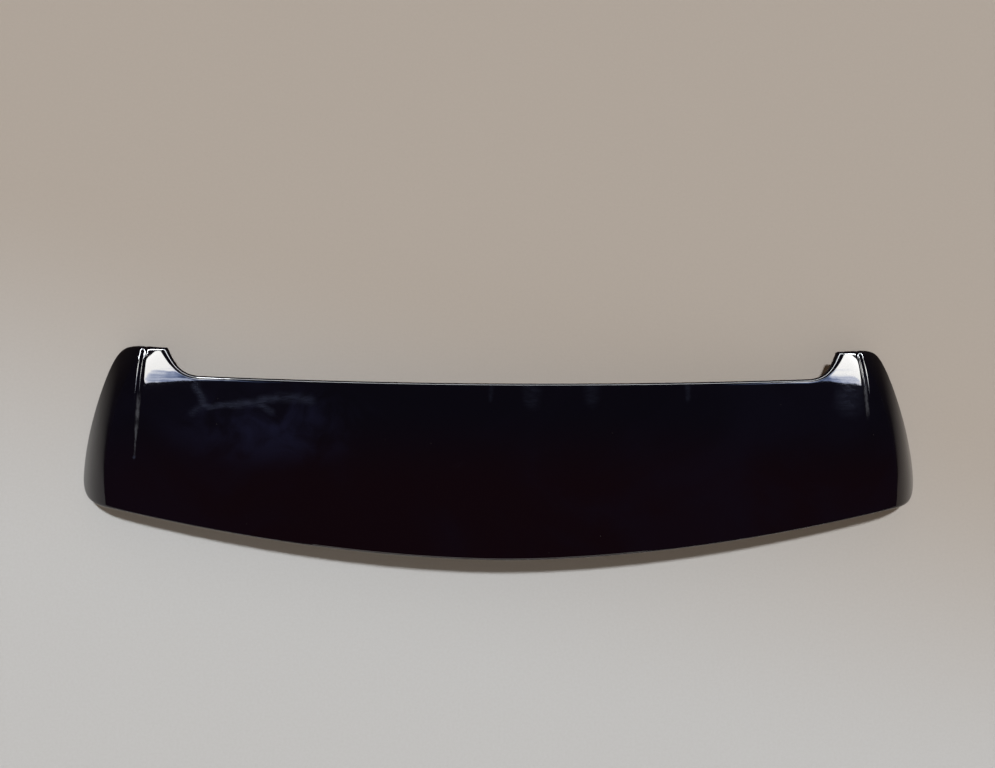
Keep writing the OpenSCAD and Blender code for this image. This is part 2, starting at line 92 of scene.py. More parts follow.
# a crease: distance from the side, toe to the rear, depth and half width
CREASE_INSET, CREASE_TOE, CREASE_DEPTH, CREASE_HALF = 92.0, 7.0, 4.0, 5.0
# a side wall: widest station, front corner, taper, width and power of its roll, hem
WIDE_Y, FRONT_CORNER_Y, SIDE_TAPER = 128.0, 250.0, 19.0
ROLL_W, ROLL_POWER, HEM_H = 82.0, 2.5, 6.0
# powers of the swept and tapered curves, and of the way in which a crease fades
EDGE_POWER, FADE_POWER = 1.8, 1.5

TRAIL_X = HALF - REAR_CORNER
HORN_X = HALF - HORN_INSET
LEAD_X = HORN_X - THROAT_W
TIP_X = HORN_X + HORN_W
TIP_Y = CHORD + HORN_REACH
POLE_Y = (WIDE_Y + FRONT_CORNER_Y) / 2
print("half width", HALF, "mm; middle of the part at station", MID_STATION)

# %% [markdown]
# ## Plan curves and heights
#
# Seen from above, the outline is a few easy curves: a swept trailing edge, a bowed
# leading edge, a hollow throat up to each horn, and a side that is widest a little
# behind the middle. The height is one function of place: a crowned top that rolls
# down into each side wall, less a crease that is deepest at the horn's tip. Because
# all of them are functions, whole arrays of points are worked out at once.

# %% Plan curves
def smooth(t):
    """Zero below 0, one above 1, and 3t^2 - 2t^3 between."""
    u = np.clip(t, 0, 1)
    return u * u * (3 - 2 * u)


def mix(a, b, t):
    """The value that lies the share t of the way from a to b."""
    return a + (b - a) * t


def bezier(p, t):
    """Cubic curve over four points: (1-t)^3 p0 + 3(1-t)^2 t p1 + 3(1-t) t^2 p2 + t^3 p3."""
    p, t = np.asarray(p, float), np.asarray(t, float)[:, None]
    s = 1 - t
    return p[0] * s**3 + 3 * p[1] * s**2 * t + 3 * p[2] * s * t**2 + p[3] * t**3


def trail_y(x):
    """Trailing edge: sweep times (x / end of the edge) to the edge power."""
    return SWEEP * (np.maximum(x, 0) / TRAIL_X) ** EDGE_POWER


def lead_y(x):
    """Leading edge: a parabola that runs forward by the bow at the throat."""
    return CHORD + LEAD_BOW * (x / LEAD_X) ** 2


def side_x(y):
    """Side line: half the width, less a taper that grows away from the widest station."""
    return HALF - SIDE_TAPER * (np.abs(y - WIDE_Y) / (FRONT_CORNER_Y - WIDE_Y)) ** EDGE_POWER


def crease_x(y):
    """Crease line: straight, running outwards from the horn's tip to the rear."""
    return HALF - CREASE_INSET + CREASE_TOE * (TIP_Y - y) / TIP_Y


def horn_front_y(x, edge=0.0):
    """Front of a horn: its tip station plus a smooth forward bulge, less the inset."""
    return TIP_Y + HORN_BULGE * smooth((x - HORN_X) / HORN_W) - edge


print("trailing edge reaches station", round(float(trail_y(TRAIL_X)), 1), "at its corner;",
      "horn tips at", TIP_Y)

# %% [markdown]
# The crease could be cut into the finished top with a Boolean, but its edges would then be
# as sharp as a knife's. As a term of the height it can be soft: a vee whose root and
# shoulders are rounded, and which fades towards the rear as the pressed line does.

# %% Heights of the top
CREASE_SOFT = 0.2


def plain_z(x, y):
    """Top without its crease: crown and camber parabolas, a fall along the horn, and a
    roll to the hem that is one at the side line and none a roll width inside it."""
    shoulder = (
        HEIGHT
        - CROWN * (x / (HALF - CREASE_INSET)) ** 2
        - CAMBER * (2 * y / CHORD - 1) ** 2
        - HORN_FALL * (np.maximum(y - CHORD, 0) / HORN_REACH) ** 2
    )
    roll = (1 - np.clip((side_x(y) - np.abs(x)) / ROLL_W, 0, 1)) ** ROLL_POWER
    return shoulder - (shoulder - HEM_H) * roll


def top_z(x, y):
    """Top less the crease: a vee, one less the distance from its line, whose root and
    shoulders are rounded by parabolas, and which fades rearwards."""
    soft = CREASE_SOFT
    away = np.abs(np.abs(x) - crease_x(y)) / CREASE_HALF
    vee = 1 - np.where(away < soft, (away**2 + soft**2) / (2 * soft), away)
    groove = np.where(np.abs(vee) < soft, (vee + soft) ** 2 / (4 * soft), np.maximum(vee, 0))
    fade = np.clip(y / TIP_Y, 0, 1) ** FADE_POWER
    return plain_z(x, y) - CREASE_DEPTH * fade * groove


def steep(x, y, probe=0.5):
    """Height that one millimetre square to the top takes up: length of (slopes, 1)."""
    along_x = (plain_z(x + probe, y) - plain_z(x - probe, y)) / (2 * probe)
    along_y = (plain_z(x, y + probe) - plain_z(x, y - probe)) / (2 * probe)
    return np.sqrt(along_x**2 + along_y**2 + 1)


tip = np.array(HORN_X + HORN_W / 2), np.array(TIP_Y)
print("heights in mm: middle", round(float(top_z(np.array(0.0), np.array(CHORD / 2))), 1),
      "and horn tip", round(float(top_z(*tip)), 1))

# %% [markdown]
# A grid over the top needs columns that run from the rear edge to the front edge. Their
# ends follow the outline: straight stretches take even steps, the throat and the corners
# are cubic curves whose middle points are pulled along by shares of their own sizes. One
# half is enough, because the other is its mirror image.

# %% Outline of the right half
# shares that pull a throat's curve: outwards, along the bow, back to the horn, down it
THROAT_PULLS = 0.62, 0.15, 0.18, 0.3
# shares that pull the corners: front one down the horn and outwards, rear one round
CORNER_PULLS = 0.46, 0.4, 0.62, 0.55
# the crease's own columns reach this many of its half widths to either side
CREASE_BAND = 1.6


def half_columns(edge, side, counts, creased):
    """Front and rear ends of the columns of the right half, from the middle to the side.
    edge and side say how far the curves lie inside the outline. counts gives how many
    columns each stretch has: lead, throat, horn, crease, corner and side."""
    lead, throat, horn, crease, corner, flank = counts
    throat_out, throat_bow, horn_in, horn_back = THROAT_PULLS
    front_reach, front_out, rear_pull, rear_turn = CORNER_PULLS
    end_x, line = TIP_X - side, HALF - CREASE_INSET
    start_y = lead_y(LEAD_X) - edge
    throat_points = [
        [LEAD_X, start_y],
        [LEAD_X + THROAT_W * throat_out, start_y + LEAD_BOW * throat_bow],
        [HORN_X - THROAT_W * horn_in + edge, TIP_Y - HORN_REACH * horn_back - edge],
        [HORN_X + edge, TIP_Y - edge],
    ]
    front_y = horn_front_y(end_x, edge)
    low_y = FRONT_CORNER_Y + HORN_REACH * front_reach
    corner_points = [
        [end_x, front_y],
        [end_x + HORN_W * front_out, front_y],
        [side_x(low_y) - side, low_y],
        [side_x(FRONT_CORNER_Y) - side, FRONT_CORNER_Y],
    ]
    x_lead = np.linspace(0, LEAD_X, lead + 1)
    near = CREASE_BAND * CREASE_HALF if creased else 0
    x_horn = np.concatenate([
        np.linspace(HORN_X + edge, line - near, horn + 1)[1:],
        np.linspace(line - near, line + near, crease + 1)[1:] if creased else [],
        np.linspace(line + near, end_x, horn + 1)[1:],
    ])
    y_side = np.linspace(FRONT_CORNER_Y, POLE_Y, flank + 1)[1:]
    front = np.concatenate([
        np.stack([x_lead, lead_y(x_lead) - edge], 1),
        bezier(throat_points, np.linspace(0, 1, throat + 1)[1:]),
        np.stack([x_horn, horn_front_y(x_horn, edge)], 1),
        bezier(corner_points, np.linspace(0, 1, corner + 1)[1:]),
        np.stack([side_x(y_side) - side, y_side], 1),
    ])
    flat = len(front) - corner - flank
    rear_end = TRAIL_X - side
    if creased:
        rear_line = crease_x(trail_y(line))
        knots, places = [0, line, end_x], [0, rear_line, rear_end]
    else:
        knots, places = [0, end_x], [0, rear_end]
    x_rear = np.interp(front[:flat, 0], knots, places)
    pull = REAR_CORNER * rear_pull
    end_y = trail_y(rear_end) + edge
    corner_points = [
        [rear_end, end_y],
        [rear_end + pull, end_y + pull * SWEEP * EDGE_POWER / TRAIL_X],
        [HALF - side, mix(WIDE_Y, SWEEP, rear_turn)],
        [HALF - side, WIDE_Y],
    ]
    y_side = np.linspace(WIDE_Y, POLE_Y, flank + 1)[1:]
    rear = np.concatenate([
        np.stack([x_rear, trail_y(x_rear) + edge], 1),
        bezier(corner_points, np.linspace(0, 1, corner + 1)[1:]),
        np.stack([side_x(y_side) - side, y_side], 1),
    ])
    return front, rear, flat


FEW_COLUMNS = (8, 4, 4, 2, 6, 4)
outline = np.concatenate(half_columns(0, 0, FEW_COLUMNS, True)[:2])
print("outline of a half: widest at", round(outline[:, 0].max(), 1), "mm, furthest forward",
      round(outline[:, 1].max(), 1))

# %% [markdown]
# A lip's round begins further in than the lip itself, by its radius, and the two edges of
# this part have different radii. So a path may be drawn in by one depth in front and by
# another behind, and changes from one to the other along the side wall.

# %% Paths inside the outline
def inset_paths(front_depth, rear_depth, counts):
    """Front and rear path, drawn in by those depths. Along the side walls the front's depth
    turns into the rear's, so that the two still meet at the end."""
    deep, _, flat = half_columns(front_depth, front_depth, counts, True)
    shallow, rear, _ = half_columns(rear_depth, rear_depth, counts, True)
    turn = np.clip((np.arange(len(deep)) - flat) / (len(deep) - 1 - flat), 0, 1)[:, None]
    return mix(deep, shallow, turn), rear, turn[:, 0]


drawn_in = np.concatenate(inset_paths(LIP_FRONT_R, LIP_REAR_R, FEW_COLUMNS)[:2])
print("the same, inside the lips:", round(drawn_in[:, 0].max(), 1), "and",
      round(drawn_in[:, 1].max(), 1))

# %% [markdown]
# ## From grids to meshes
#
# A moulded skin is a closed surface: out over the top, round the lip, back along the
# inside. We lay it out as a grid whose columns cross the part and whose rows run round
# that section. The columns at the very sides shrink to one place, so points that fall
# together are merged, and the faces that lose their area are dropped. What is left is
# one closed surface with no seam.

# %% Mesh helpers
MERGE_WITHIN = 0.001


def rounded_turn(count, first=0.0, last=90.0):
    """Angles in radians, evenly spaced over that many steps, for a quarter round."""
    return np.radians(np.linspace(first, last, count + 1))


def merge_grid(points, around=True, across=False):
    """Vertices and quads of a grid of points (columns, rows, 3), in millimetres. Rows
    close on themselves when around is true, columns when across is true. Points within a
    thousandth of a millimetre become one; quads that collapse become triangles or go."""
    columns, rows = points.shape[:2]
    flat = points.reshape(-1, 3)
    keys = np.round(flat / MERGE_WITHIN).astype(np.int64)
    _, first, index = np.unique(keys, axis=0, return_index=True, return_inverse=True)
    index = index.reshape(columns, rows)
    c = np.arange(columns if across else columns - 1)[:, None]
    r = np.arange(rows if around else rows - 1)[None, :]
    c2, r2 = (c + 1) % columns, (r + 1) % rows
    quads = np.stack([index[c, r], index[c2, r], index[c2, r2], index[c, r2]], -1)
    quads = quads.reshape(-1, 4)
    kinds = (quads == np.roll(quads, -1, axis=1)).sum(1)
    return flat[first], quads, kinds, np.broadcast_to(r, (len(c), r.shape[1])).ravel()


def make_object(name, vertices, faces):
    """A mesh object from vertices in millimetres, with chord stations moved so that the
    middle of the part lies over the origin."""
    placed = (np.asarray(vertices, float) - [0, MID_STATION, 0]) * MM
    mesh = bpy.data.meshes.new(name)
    mesh.from_pydata(placed, [], faces)
    mesh.update()
    thing = bpy.data.objects.new(name, mesh)
    bpy.context.scene.collection.objects.link(thing)
    return thing


def grid_object(name, points, around=True, across=False):
    """The object of a grid, with smooth faces, and the row that each face came from."""
    vertices, quads, kinds, row = merge_grid(points, around, across)
    faces, face_rows = [], []
    for quad, kind, at in zip(quads.tolist(), kinds, row):
        if kind == 0:
            faces.append(quad)
            face_rows.append(at)
        elif kind == 1:
            corners = [q for k, q in enumerate(quad) if q != quad[k - 1]]
            if len(set(corners)) == 3:
                faces.append(corners)
                face_rows.append(at)
    thing = make_object(name, vertices, faces)
    thing.data.polygons.foreach_set("use_smooth", np.ones(len(faces), bool))
    return thing, np.array(face_rows)


print("points that merge lie within", MERGE_WITHIN, "mm")

# %% [markdown]
# Two last steps are the same for each piece. Its crisp edges are marked by their angle,
# as Shade Auto Smooth does, and its faces are turned outwards. Then the open edges are
# counted: a closed shell has none.

# %% Finishing a mesh
def sharpen(thing, degrees):
    """Keep edges crisp where two faces meet at more than that angle; the rest is smooth."""
    thing.data.set_sharp_from_angle(angle=math.radians(degrees))


def outward_faces(thing):
    """Turn every face outwards and report whether the surface is closed."""
    work = bmesh.new()
    work.from_mesh(thing.data)
    bmesh.ops.recalc_face_normals(work, faces=work.faces)
    open_edges = sum(1 for e in work.edges if len(e.link_faces) != 2)
    volume = work.calc_volume(signed=True)
    work.to_mesh(thing.data)
    work.free()
    print(f"{thing.name}: {len(thing.data.polygons)} faces, {open_edges} open edges,"
          f" {volume * 1e6:.1f} cm3")
    return thing


# %% [markdown]
# ## The painted skin
#
# On the car this is an injection-moulded ABS shell, three millimetres thick, painted and
# lacquered on the outside only. A subdivision surface would give soft corners but no
# say over the lip radii, which catch the thin bright line along the front edge. So the
# section is written out: foot, lip, radius, top, radius, lip, foot, and back inside.

# %% Sections of the painted skin
# columns of the lead, throat, horn, crease, corner and side, then rows over and under
SKIN_COUNTS = (64, 26, 7, 30, 34, 12)
TOP_ROWS, UNDER_ROWS = 84, 30
# rounding of the foot, steps of the foot's, the outer and the inner quarter rounds
FOOT_R, FOOT_STEPS, OUTER_STEPS, INNER_STEPS = 0.9, 3, 8, 4
# how far the rows crowd towards the edges, from even (0) to a smooth step (1)
CROWDING = 0.6


def edge_rows(start, depth, count):
    """Rows of both edges, from the rounded foot up the lip and round its radius onto the
    top. They begin a distance start inside the outline and lie that depth under the top.
    A row at angle a is radius (1 - cos a) further in and radius (1 - sin a) lower."""
    front, rear, turn = inset_paths(0, 0, SKIN_COUNTS)
    lows = [np.maximum(0, plain_z(path[:, 0], path[:, 1]) - lip)
            for path, lip in ((front, LIP_FRONT), (rear, LIP_REAR))]
    sense = -1 if start > 0 else 1
    edges = [], []
    for a in rounded_turn(FOOT_STEPS):
        inset = start + sense * FOOT_R * (1 - math.sin(a))
        for rows, q, low in zip(edges, inset_paths(inset, inset, SKIN_COUNTS), lows):
            rows.append(np.column_stack([q, low + FOOT_R * (1 - math.cos(a))]))
    radii = mix(LIP_FRONT_R, LIP_REAR_R, turn), LIP_REAR_R
    for a in rounded_turn(count):
        insets = [start + r * (1 - math.cos(a)) for r in (LIP_FRONT_R, LIP_REAR_R)]
        paths = inset_paths(*insets, SKIN_COUNTS)
        for rows, q, low, radius in zip(edges, paths, lows, radii):
            x, y = q[:, 0], q[:, 1]
            fall = depth * steep(x, y) if depth else 0
            z = top_z(x, y) - fall - radius * (1 - math.sin(a))
            rows.append(np.column_stack([q, np.maximum(z, low + FOOT_R)]))
    return edges


def between(first, last, count, depth):
    """Rows that cross from one edge to the other, closer together near the edges, at the
    height of the top less a depth measured square to it."""
    rows = []
    for t in np.linspace(0, 1, count + 2)[1:-1]:
        share = mix(t, smooth(t), CROWDING)
        q = mix(first[:, :2], last[:, :2], share)
        x, y = q[:, 0], q[:, 1]
        rows.append(np.column_stack([q, top_z(x, y) - depth * steep(x, y)]))
    return rows


def mirrored(rows):
    """A grid (columns, rows, 3) for both halves, from rows of the right half."""
    right = np.stack(rows, 1)
    left = right[:0:-1] * [-1, 1, 1]
    return np.concatenate([left, right])


def skin_sections():
    """Grid of the skin and how many of its rows lie outside. The inside is the same form,
    the wall's thickness further in and lower."""
    up_front, up_rear = edge_rows(0, 0, OUTER_STEPS)
    in_front, in_rear = edge_rows(SKIN_T, SKIN_T, INNER_STEPS)
    outside = up_rear + between(up_rear[-1], up_front[-1], TOP_ROWS, 0) + up_front[::-1]
    inside = (in_front + between(in_front[-1], in_rear[-1], UNDER_ROWS, SKIN_T)
              + in_rear[::-1])
    return mirrored(outside + inside), len(outside)


skin_grid, outside_rows = skin_sections()
painted_skin, skin_face_rows = grid_object("painted_skin", skin_grid)
sharpen(painted_skin, 48)
outward_faces(painted_skin)

# %% [markdown]
# ## The moulded inner panel
#
# Under the painted skin sits a black tray that carries the studs. It follows the lining
# of the skin along a flat flange, then dips, and has two pressed beads along its length.
# The sheet is a grid again. Its bosses are turned profiles and its gussets thin wedges,
# joined to the sheet with the Boolean modifier, which also drills the bores. Modelling
# bosses by hand on the sheet would mean re-cutting its faces round every one of them.

# %% Heights of the panel
# sheet, gap for the bond, depth of the dish, width of its slope, inset at the sides
PANEL_T, BOND_GAP, PANEL_DROP, PANEL_BAND, PANEL_INSET = 2.5, 0.8, 30.0, 34.0, 36.0
# flat flange, step that leaves it flush in the lip, share of the corner in which it eases
FLANGE_W, FLUSH_STEP, EDGE_EASE = 16.0, 1.0, 0.4
PANEL_EDGE = SKIN_T + BOND_GAP


def lining_z(x, y):
    """Underside of the skin with the crease filled in to its full depth."""
    fill = CREASE_DEPTH * np.clip(y / TIP_Y, 0, 1) ** FADE_POWER
    inside = smooth((crease_x(y) + 3 * CREASE_HALF - np.abs(x)) / CREASE_HALF)
    return plain_z(x, y) - (SKIN_T + BOND_GAP) * steep(x, y) - fill * inside


def edge_fall(p, lip):
    """Fall from the lining to the panel's edge, which sits flush in the lip; none at the
    side walls."""
    away = smooth((np.abs(p[..., 0]) - (TRAIL_X - PANEL_INSET)) / (REAR_CORNER * EDGE_EASE))
    x, y = p[..., 0], p[..., 1]
    gap = lining_z(x, y) - (plain_z(x, y) - lip + FLUSH_STEP + PANEL_T)
    return (1 - away) * np.maximum(0, gap)


def panel_top_z(x, y, rear, front):
    """Lining, less the edge's fall near the rim and the full drop inside it. The dip is
    the product of three smooth steps, in from the rear, the front and the side."""
    reach = FLANGE_W, PANEL_BAND
    dip = smooth((y - rear[..., 1] - reach[0]) / reach[1])
    dip = dip * smooth((front[..., 1] - y - reach[0]) / reach[1])
    dip = dip * smooth((side_x(y) - PANEL_INSET - np.abs(x) - reach[0]) / reach[1])
    share = np.clip((y - rear[..., 1]) / np.maximum(front[..., 1] - rear[..., 1], 0.01), 0, 1)
    fall = mix(edge_fall(rear, LIP_REAR), edge_fall(front, LIP_FRONT), share)
    return lining_z(x, y) - fall * (1 - dip) - PANEL_DROP * dip


print("panel edge lies", PANEL_EDGE, "mm inside the skin; floor of the tray",
      PANEL_DROP, "mm under the lining")

# %% [markdown]
# The two beads are what a toolmaker adds so that a thin tray doesn't drum. They keep their
# share of each column's length, so they close up where the part gets narrow, and they end
# before the horns.

# %% The panel's sheet
PANEL_COUNTS = (60, 16, 9, 0, 20, 8)
PANEL_ROWS = 46
# beads: depth, end, half width, shares of the dish; columns shorter than the room shrink
BEAD_DEPTH, BEAD_REACH, BEAD_SPREAD, BEAD_SHARES = 4.0, 430.0, 5.5, (0.36, 0.6)
COLUMN_ROOM = 170.0


def panel_sections():
    """Grid of the sheet: the dished top less two bell curves of the distance from a bead,
    and a sheet's thickness lower the same again."""
    front, rear, _ = half_columns(PANEL_EDGE, PANEL_INSET, PANEL_COUNTS, False)
    length = np.linalg.norm(front - rear, axis=1)
    beads = []
    inset = FLANGE_W + PANEL_BAND
    scale = np.minimum(1, length / COLUMN_ROOM)
    for share in BEAD_SHARES:
        beads.append(mix(inset * scale, length - inset * scale, share))
    upper, lower = [], []
    for t in np.linspace(0, 1, PANEL_ROWS):
        q = mix(rear, front, t)
        x, y = q[:, 0], q[:, 1]
        here = t * length
        bead = sum(np.exp(-(((here - at) / BEAD_SPREAD) ** 2)) for at in beads)
        bead = bead * BEAD_DEPTH * smooth((BEAD_REACH - x) / FLANGE_W)
        z = panel_top_z(x, y, rear, front) - bead
        upper.append(np.column_stack([q, z]))
        lower.append(np.column_stack([q, z - PANEL_T * steep(x, y)]))
    return mirrored(upper + lower[::-1])


moulded_panel, _ = grid_object("moulded_panel", panel_sections())
outward_faces(moulded_panel)

# %% [markdown]
# ## Turned and swept shapes
#
# Turned shapes come from one helper: a profile of radius and height, with a radius that
# may change round the turn, so that the same few lines make a boss, a foam ring, a thread
# and even a stud's square head. Blender's Spin tool turns a profile too, but only a round
# one. Strips of foam have a helper of their own, with a rounded square as their section.

# %% Turned and swept shapes
# rounding of a strip's corners, as a share of its sides, and of the way out at its ends
STRIP_ROUND = 0.1
END_SHARES = 0, 0.6, 0.9


def turned(profile, centre, around=48, radius=None):
    """Grid of a profile [(r, z), ...] turned about an upright axis through centre. With
    radius, a function of the angle and of the profile's arrays, the turn isn't round."""
    r, z = np.asarray(profile, float).T
    angle = np.linspace(0, 2 * math.pi, around, endpoint=False)[:, None]
    r_all = np.broadcast_to(r, (around, len(r))) if radius is None else radius(angle, r, z)
    points = np.stack([r_all * np.cos(angle), r_all * np.sin(angle),
                       np.broadcast_to(z, r_all.shape)], -1)
    return points + np.asarray(centre, float)


def fillet(corner_r, corner_z, size, first, last, count=5):
    """Points of a quarter round of that size about (corner_r, corner_z), by angle."""
    return [(corner_r + size * math.cos(t), corner_z + size * math.sin(t))
            for t in rounded_turn(count, first, last)]


def ring_profile(inner, outer, low, high, edge):
    """Closed profile of a ring with rounded edges, anticlockwise from its inner foot."""
    return (
        fillet(outer - edge, low + edge, edge, -90, 0)
        + fillet(outer - edge, high - edge, edge, 0, 90)
        + fillet(inner + edge, high - edge, edge, 90, 180)
        + fillet(inner + edge, low + edge, edge, 180, 270)
    )


def rounded_loop(edge, count=4):
    """Shares (u, v) round a unit square whose corners are rounds of the radius edge."""
    loop = []
    for cu, cv, first in ((1 - edge, edge, -90), (1 - edge, 1 - edge, 0),
                          (edge, 1 - edge, 90), (edge, edge, 180)):
        a = rounded_turn(count, first, first + 90)
        loop.append(np.stack([cu + edge * np.cos(a), cv + edge * np.sin(a)], 1))
    return np.concatenate(loop)


def strip_grid(near_low, far_low, far_high, near_high):
    """Grid of a strip from its four long edges, each an array of points. A point at the
    shares (u, v) is the blend of the four; both ends draw in to their middle."""
    uv = rounded_loop(STRIP_ROUND)
    u, v = uv[:, 0][None, :, None], uv[:, 1][None, :, None]
    a, b, c, d = (e[:, None, :] for e in (near_low, far_low, far_high, near_high))
    body = (1 - u) * (1 - v) * a + u * (1 - v) * b + u * v * c + (1 - u) * v * d
    middle = body.mean(1, keepdims=True)
    caps = [mix(middle[[0]], body[[0]], s) for s in END_SHARES]
    ends = [mix(middle[[-1]], body[[-1]], s) for s in END_SHARES[::-1]]
    return np.concatenate(caps + [body] + ends)


print("points round a strip's section:", len(rounded_loop(STRIP_ROUND)))

# %% [markdown]
# Six studs stand square to the board, four near the ends and two by the middle. Their
# places are the same as in the source of the solids. The seat of each head is measured
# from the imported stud, so that the fine boss meets it exactly.

# %% Places of the studs
# shaft: radius, step up to the neck, length under the washer, chamfer
STUD_R, NECK_STEP, STUD_REACH, STUD_CHAMFER = 3.0, 0.5, 20.0, 0.8
# clearance in the bore, width and height of the square head
STUD_CLEAR, STUD_HEAD_W, STUD_HEAD_T = 0.3, 14.0, 4.0
HEAD_SEAT, BOSS_R, WASHER_T = 2.0, 13.0, 3.0
# places of the outer and inner studs, and the heights of their bosses' feet
OUTER_STUD_X, INNER_STUD_X, FRONT_STUD_Y, STUD_ROWS = 380.0, 130.0, 188.0, 84.0
OUTER_SEAT_Z, INNER_SEAT_Z = 52.0, 66.0
NECK_R = STUD_R + NECK_STEP

stud_places = [
    (-OUTER_STUD_X, FRONT_STUD_Y, OUTER_SEAT_Z),
    (OUTER_STUD_X, FRONT_STUD_Y, OUTER_SEAT_Z),
    (-OUTER_STUD_X, FRONT_STUD_Y - STUD_ROWS, OUTER_SEAT_Z),
    (OUTER_STUD_X, FRONT_STUD_Y - STUD_ROWS, OUTER_SEAT_Z),
    (-INNER_STUD_X, FRONT_STUD_Y, INNER_SEAT_Z),
    (INNER_STUD_X, FRONT_STUD_Y, INNER_SEAT_Z),
]


def head_seat(number):
    """Height in millimetres at which a packed stud's head is seated: its highest corner
    less the thickness of the head."""
    _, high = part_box(f"stud_{number}")
    return high[2] / MM - STUD_HEAD_T


head_seats = [head_seat(n) for n in range(1, len(stud_places) + 1)]
print("seats of the stud heads:", [round(z, 2) for z in head_seats])

# %% [markdown]
# A boss is a round post round each stud, moulded with the sheet, and four gussets carry
# its load out into the sheet. Post, gussets and bore are closed solids that overlap the
# sheet a little, so the Boolean modifier never has to work on two faces that coincide.

# %% Bosses, gussets and bores
# a gusset: thickness, reach, start above the seat, end below the top in sheets
GUSSET_T, GUSSET_REACH, GUSSET_STEP, GUSSET_SINK = 2.0, 12.0, 3.0, 1.8
GUSSET_TURNS = 45, 135, 225, 315
# what a tool overlaps the sheet by, and the broken edges of a boss
OVERLAP, FOOT_ROUND, SEAT_BEVEL = 1, 0.6, 0.4


def wedge(place, turn, top):
    """A thin upright gusset from a boss out to the sheet: four corners in the plane that
    holds the boss's axis, moved half a thickness to either side."""
    x, y, seat = place
    out = np.array([math.cos(turn), math.sin(turn), 0])
    across = np.array([-math.sin(turn), math.cos(turn), 0]) * GUSSET_T / 2
    root, end, high = BOSS_R - OVERLAP, BOSS_R + GUSSET_REACH, top - HEAD_SEAT - PANEL_T / 2
    side = [(root, seat + GUSSET_STEP), (end, top - PANEL_T * GUSSET_SINK), (end, high),
            (root, high)]
    near = [np.array([x, y, z]) + out * r - across for r, z in side]
    far = [np.array([x, y, z]) + out * r + across for r, z in side]
    faces = [(3, 2, 1, 0), (4, 5, 6, 7), (0, 1, 5, 4), (1, 2, 6, 5), (2, 3, 7, 6),
             (3, 0, 4, 7)]
    return make_object("gusset", near + far, faces)


def combine(target, tool, operation):
    """Apply a Boolean modifier and remove the tool. The manifold solver is quick and
    keeps closed meshes closed."""
    modifier = target.modifiers.new(operation.lower(), "BOOLEAN")
    modifier.operation, modifier.solver, modifier.object = operation, "MANIFOLD", tool
    bpy.context.view_layer.update()
    depsgraph = bpy.context.evaluated_depsgraph_get()
    mesh = bpy.data.meshes.new_from_object(target.evaluated_get(depsgraph))
    target.modifiers.remove(modifier)
    target.data = mesh
    bpy.data.objects.remove(tool)


def solid(name, profile, centre, around=48):
    """A closed turned object."""
    thing, _ = grid_object(name, turned(profile, centre, around), True, True)
    return outward_faces(thing)


for place, seat in zip(stud_places, head_seats):
    x, y, low = place
    foot_r, rim_r = BOSS_R - FOOT_ROUND, BOSS_R - SEAT_BEVEL
    boss = [(OVERLAP, low), (foot_r, low)]
    boss += fillet(foot_r, low + FOOT_ROUND, FOOT_ROUND, -90, 0)
    boss += [(BOSS_R, seat - SEAT_BEVEL), (rim_r, seat), (OVERLAP, seat)]
    combine(moulded_panel, solid("boss", boss, (x, y, 0)), "UNION")
    for turn in np.radians(GUSSET_TURNS):
        combine(moulded_panel, outward_faces(wedge(place, turn, seat)), "UNION")
    bore_r, under, over = NECK_R + STUD_CLEAR, low - OVERLAP, seat + OVERLAP
    bore = [(0, under), (bore_r, under), (bore_r, over), (0, over)]
    combine(moulded_panel, solid("bore", bore, (x, y, 0)), "DIFFERENCE")
print("panel:", len(moulded_panel.data.polygons), "faces with its stud bosses")

# %% [markdown]
# The two clip bosses are blind posts that reach up into the sheet near the horns. How high
# they have to reach follows from the underside of the sheet at that place.

# %% Clip bosses
# a clip: distance from the side and behind the horn's tip, stem, tail and seat
CLIP_INSET, CLIP_SETBACK, CLIP_R, CLIP_REACH, CLIP_SEAT_Z = 141.0, 69.0, 3.5, 17.0, 44.0
CLIP_X, CLIP_Y, CLIP_NECK, CLIP_BOSS_R = HALF - CLIP_INSET, TIP_Y - CLIP_SETBACK, 8.0, 9.0
# share of the horn's reach at which the column over a clip ends
CLIP_COLUMN = 0.6


def panel_under(x, y, front_y):
    """Underside of the panel's sheet at a place whose column ends at that front station."""
    rear = np.stack([x, trail_y(x) + PANEL_EDGE], -1)
    front = np.stack([x, front_y], -1)
    return panel_top_z(x, y, rear, front) - PANEL_T * steep(x, y)


clip_at = np.array([CLIP_X]), np.array([CLIP_Y])
horn_front = lead_y(clip_at[0]) + HORN_REACH * CLIP_COLUMN
clip_roof = panel_under(*clip_at, horn_front)[0] + PANEL_T / 2
for side in (-1, 1):
    centre = (side * CLIP_X, CLIP_Y, 0)
    boss = [(0, CLIP_SEAT_Z)]
    boss += fillet(CLIP_BOSS_R - FOOT_ROUND, CLIP_SEAT_Z + FOOT_ROUND, FOOT_ROUND, -90, 0)
    boss += [(CLIP_BOSS_R, clip_roof), (0, clip_roof)]
    combine(moulded_panel, solid("clip_boss", boss, centre), "UNION")
    bore_r, under = CLIP_R + STUD_CLEAR, CLIP_SEAT_Z - OVERLAP
    over = CLIP_SEAT_Z + CLIP_NECK + STUD_CLEAR
    bore = [(0, under), (bore_r, under), (bore_r, over), (0, over)]
    combine(moulded_panel, solid("clip_bore", bore, centre), "DIFFERENCE")
panel_faces = moulded_panel.data.polygons
panel_faces.foreach_set("use_smooth", np.ones(len(panel_faces), bool))
sharpen(moulded_panel, 34)
print("panel:", len(panel_faces), "faces; clip bosses reach up to", round(clip_roof, 1), "mm")

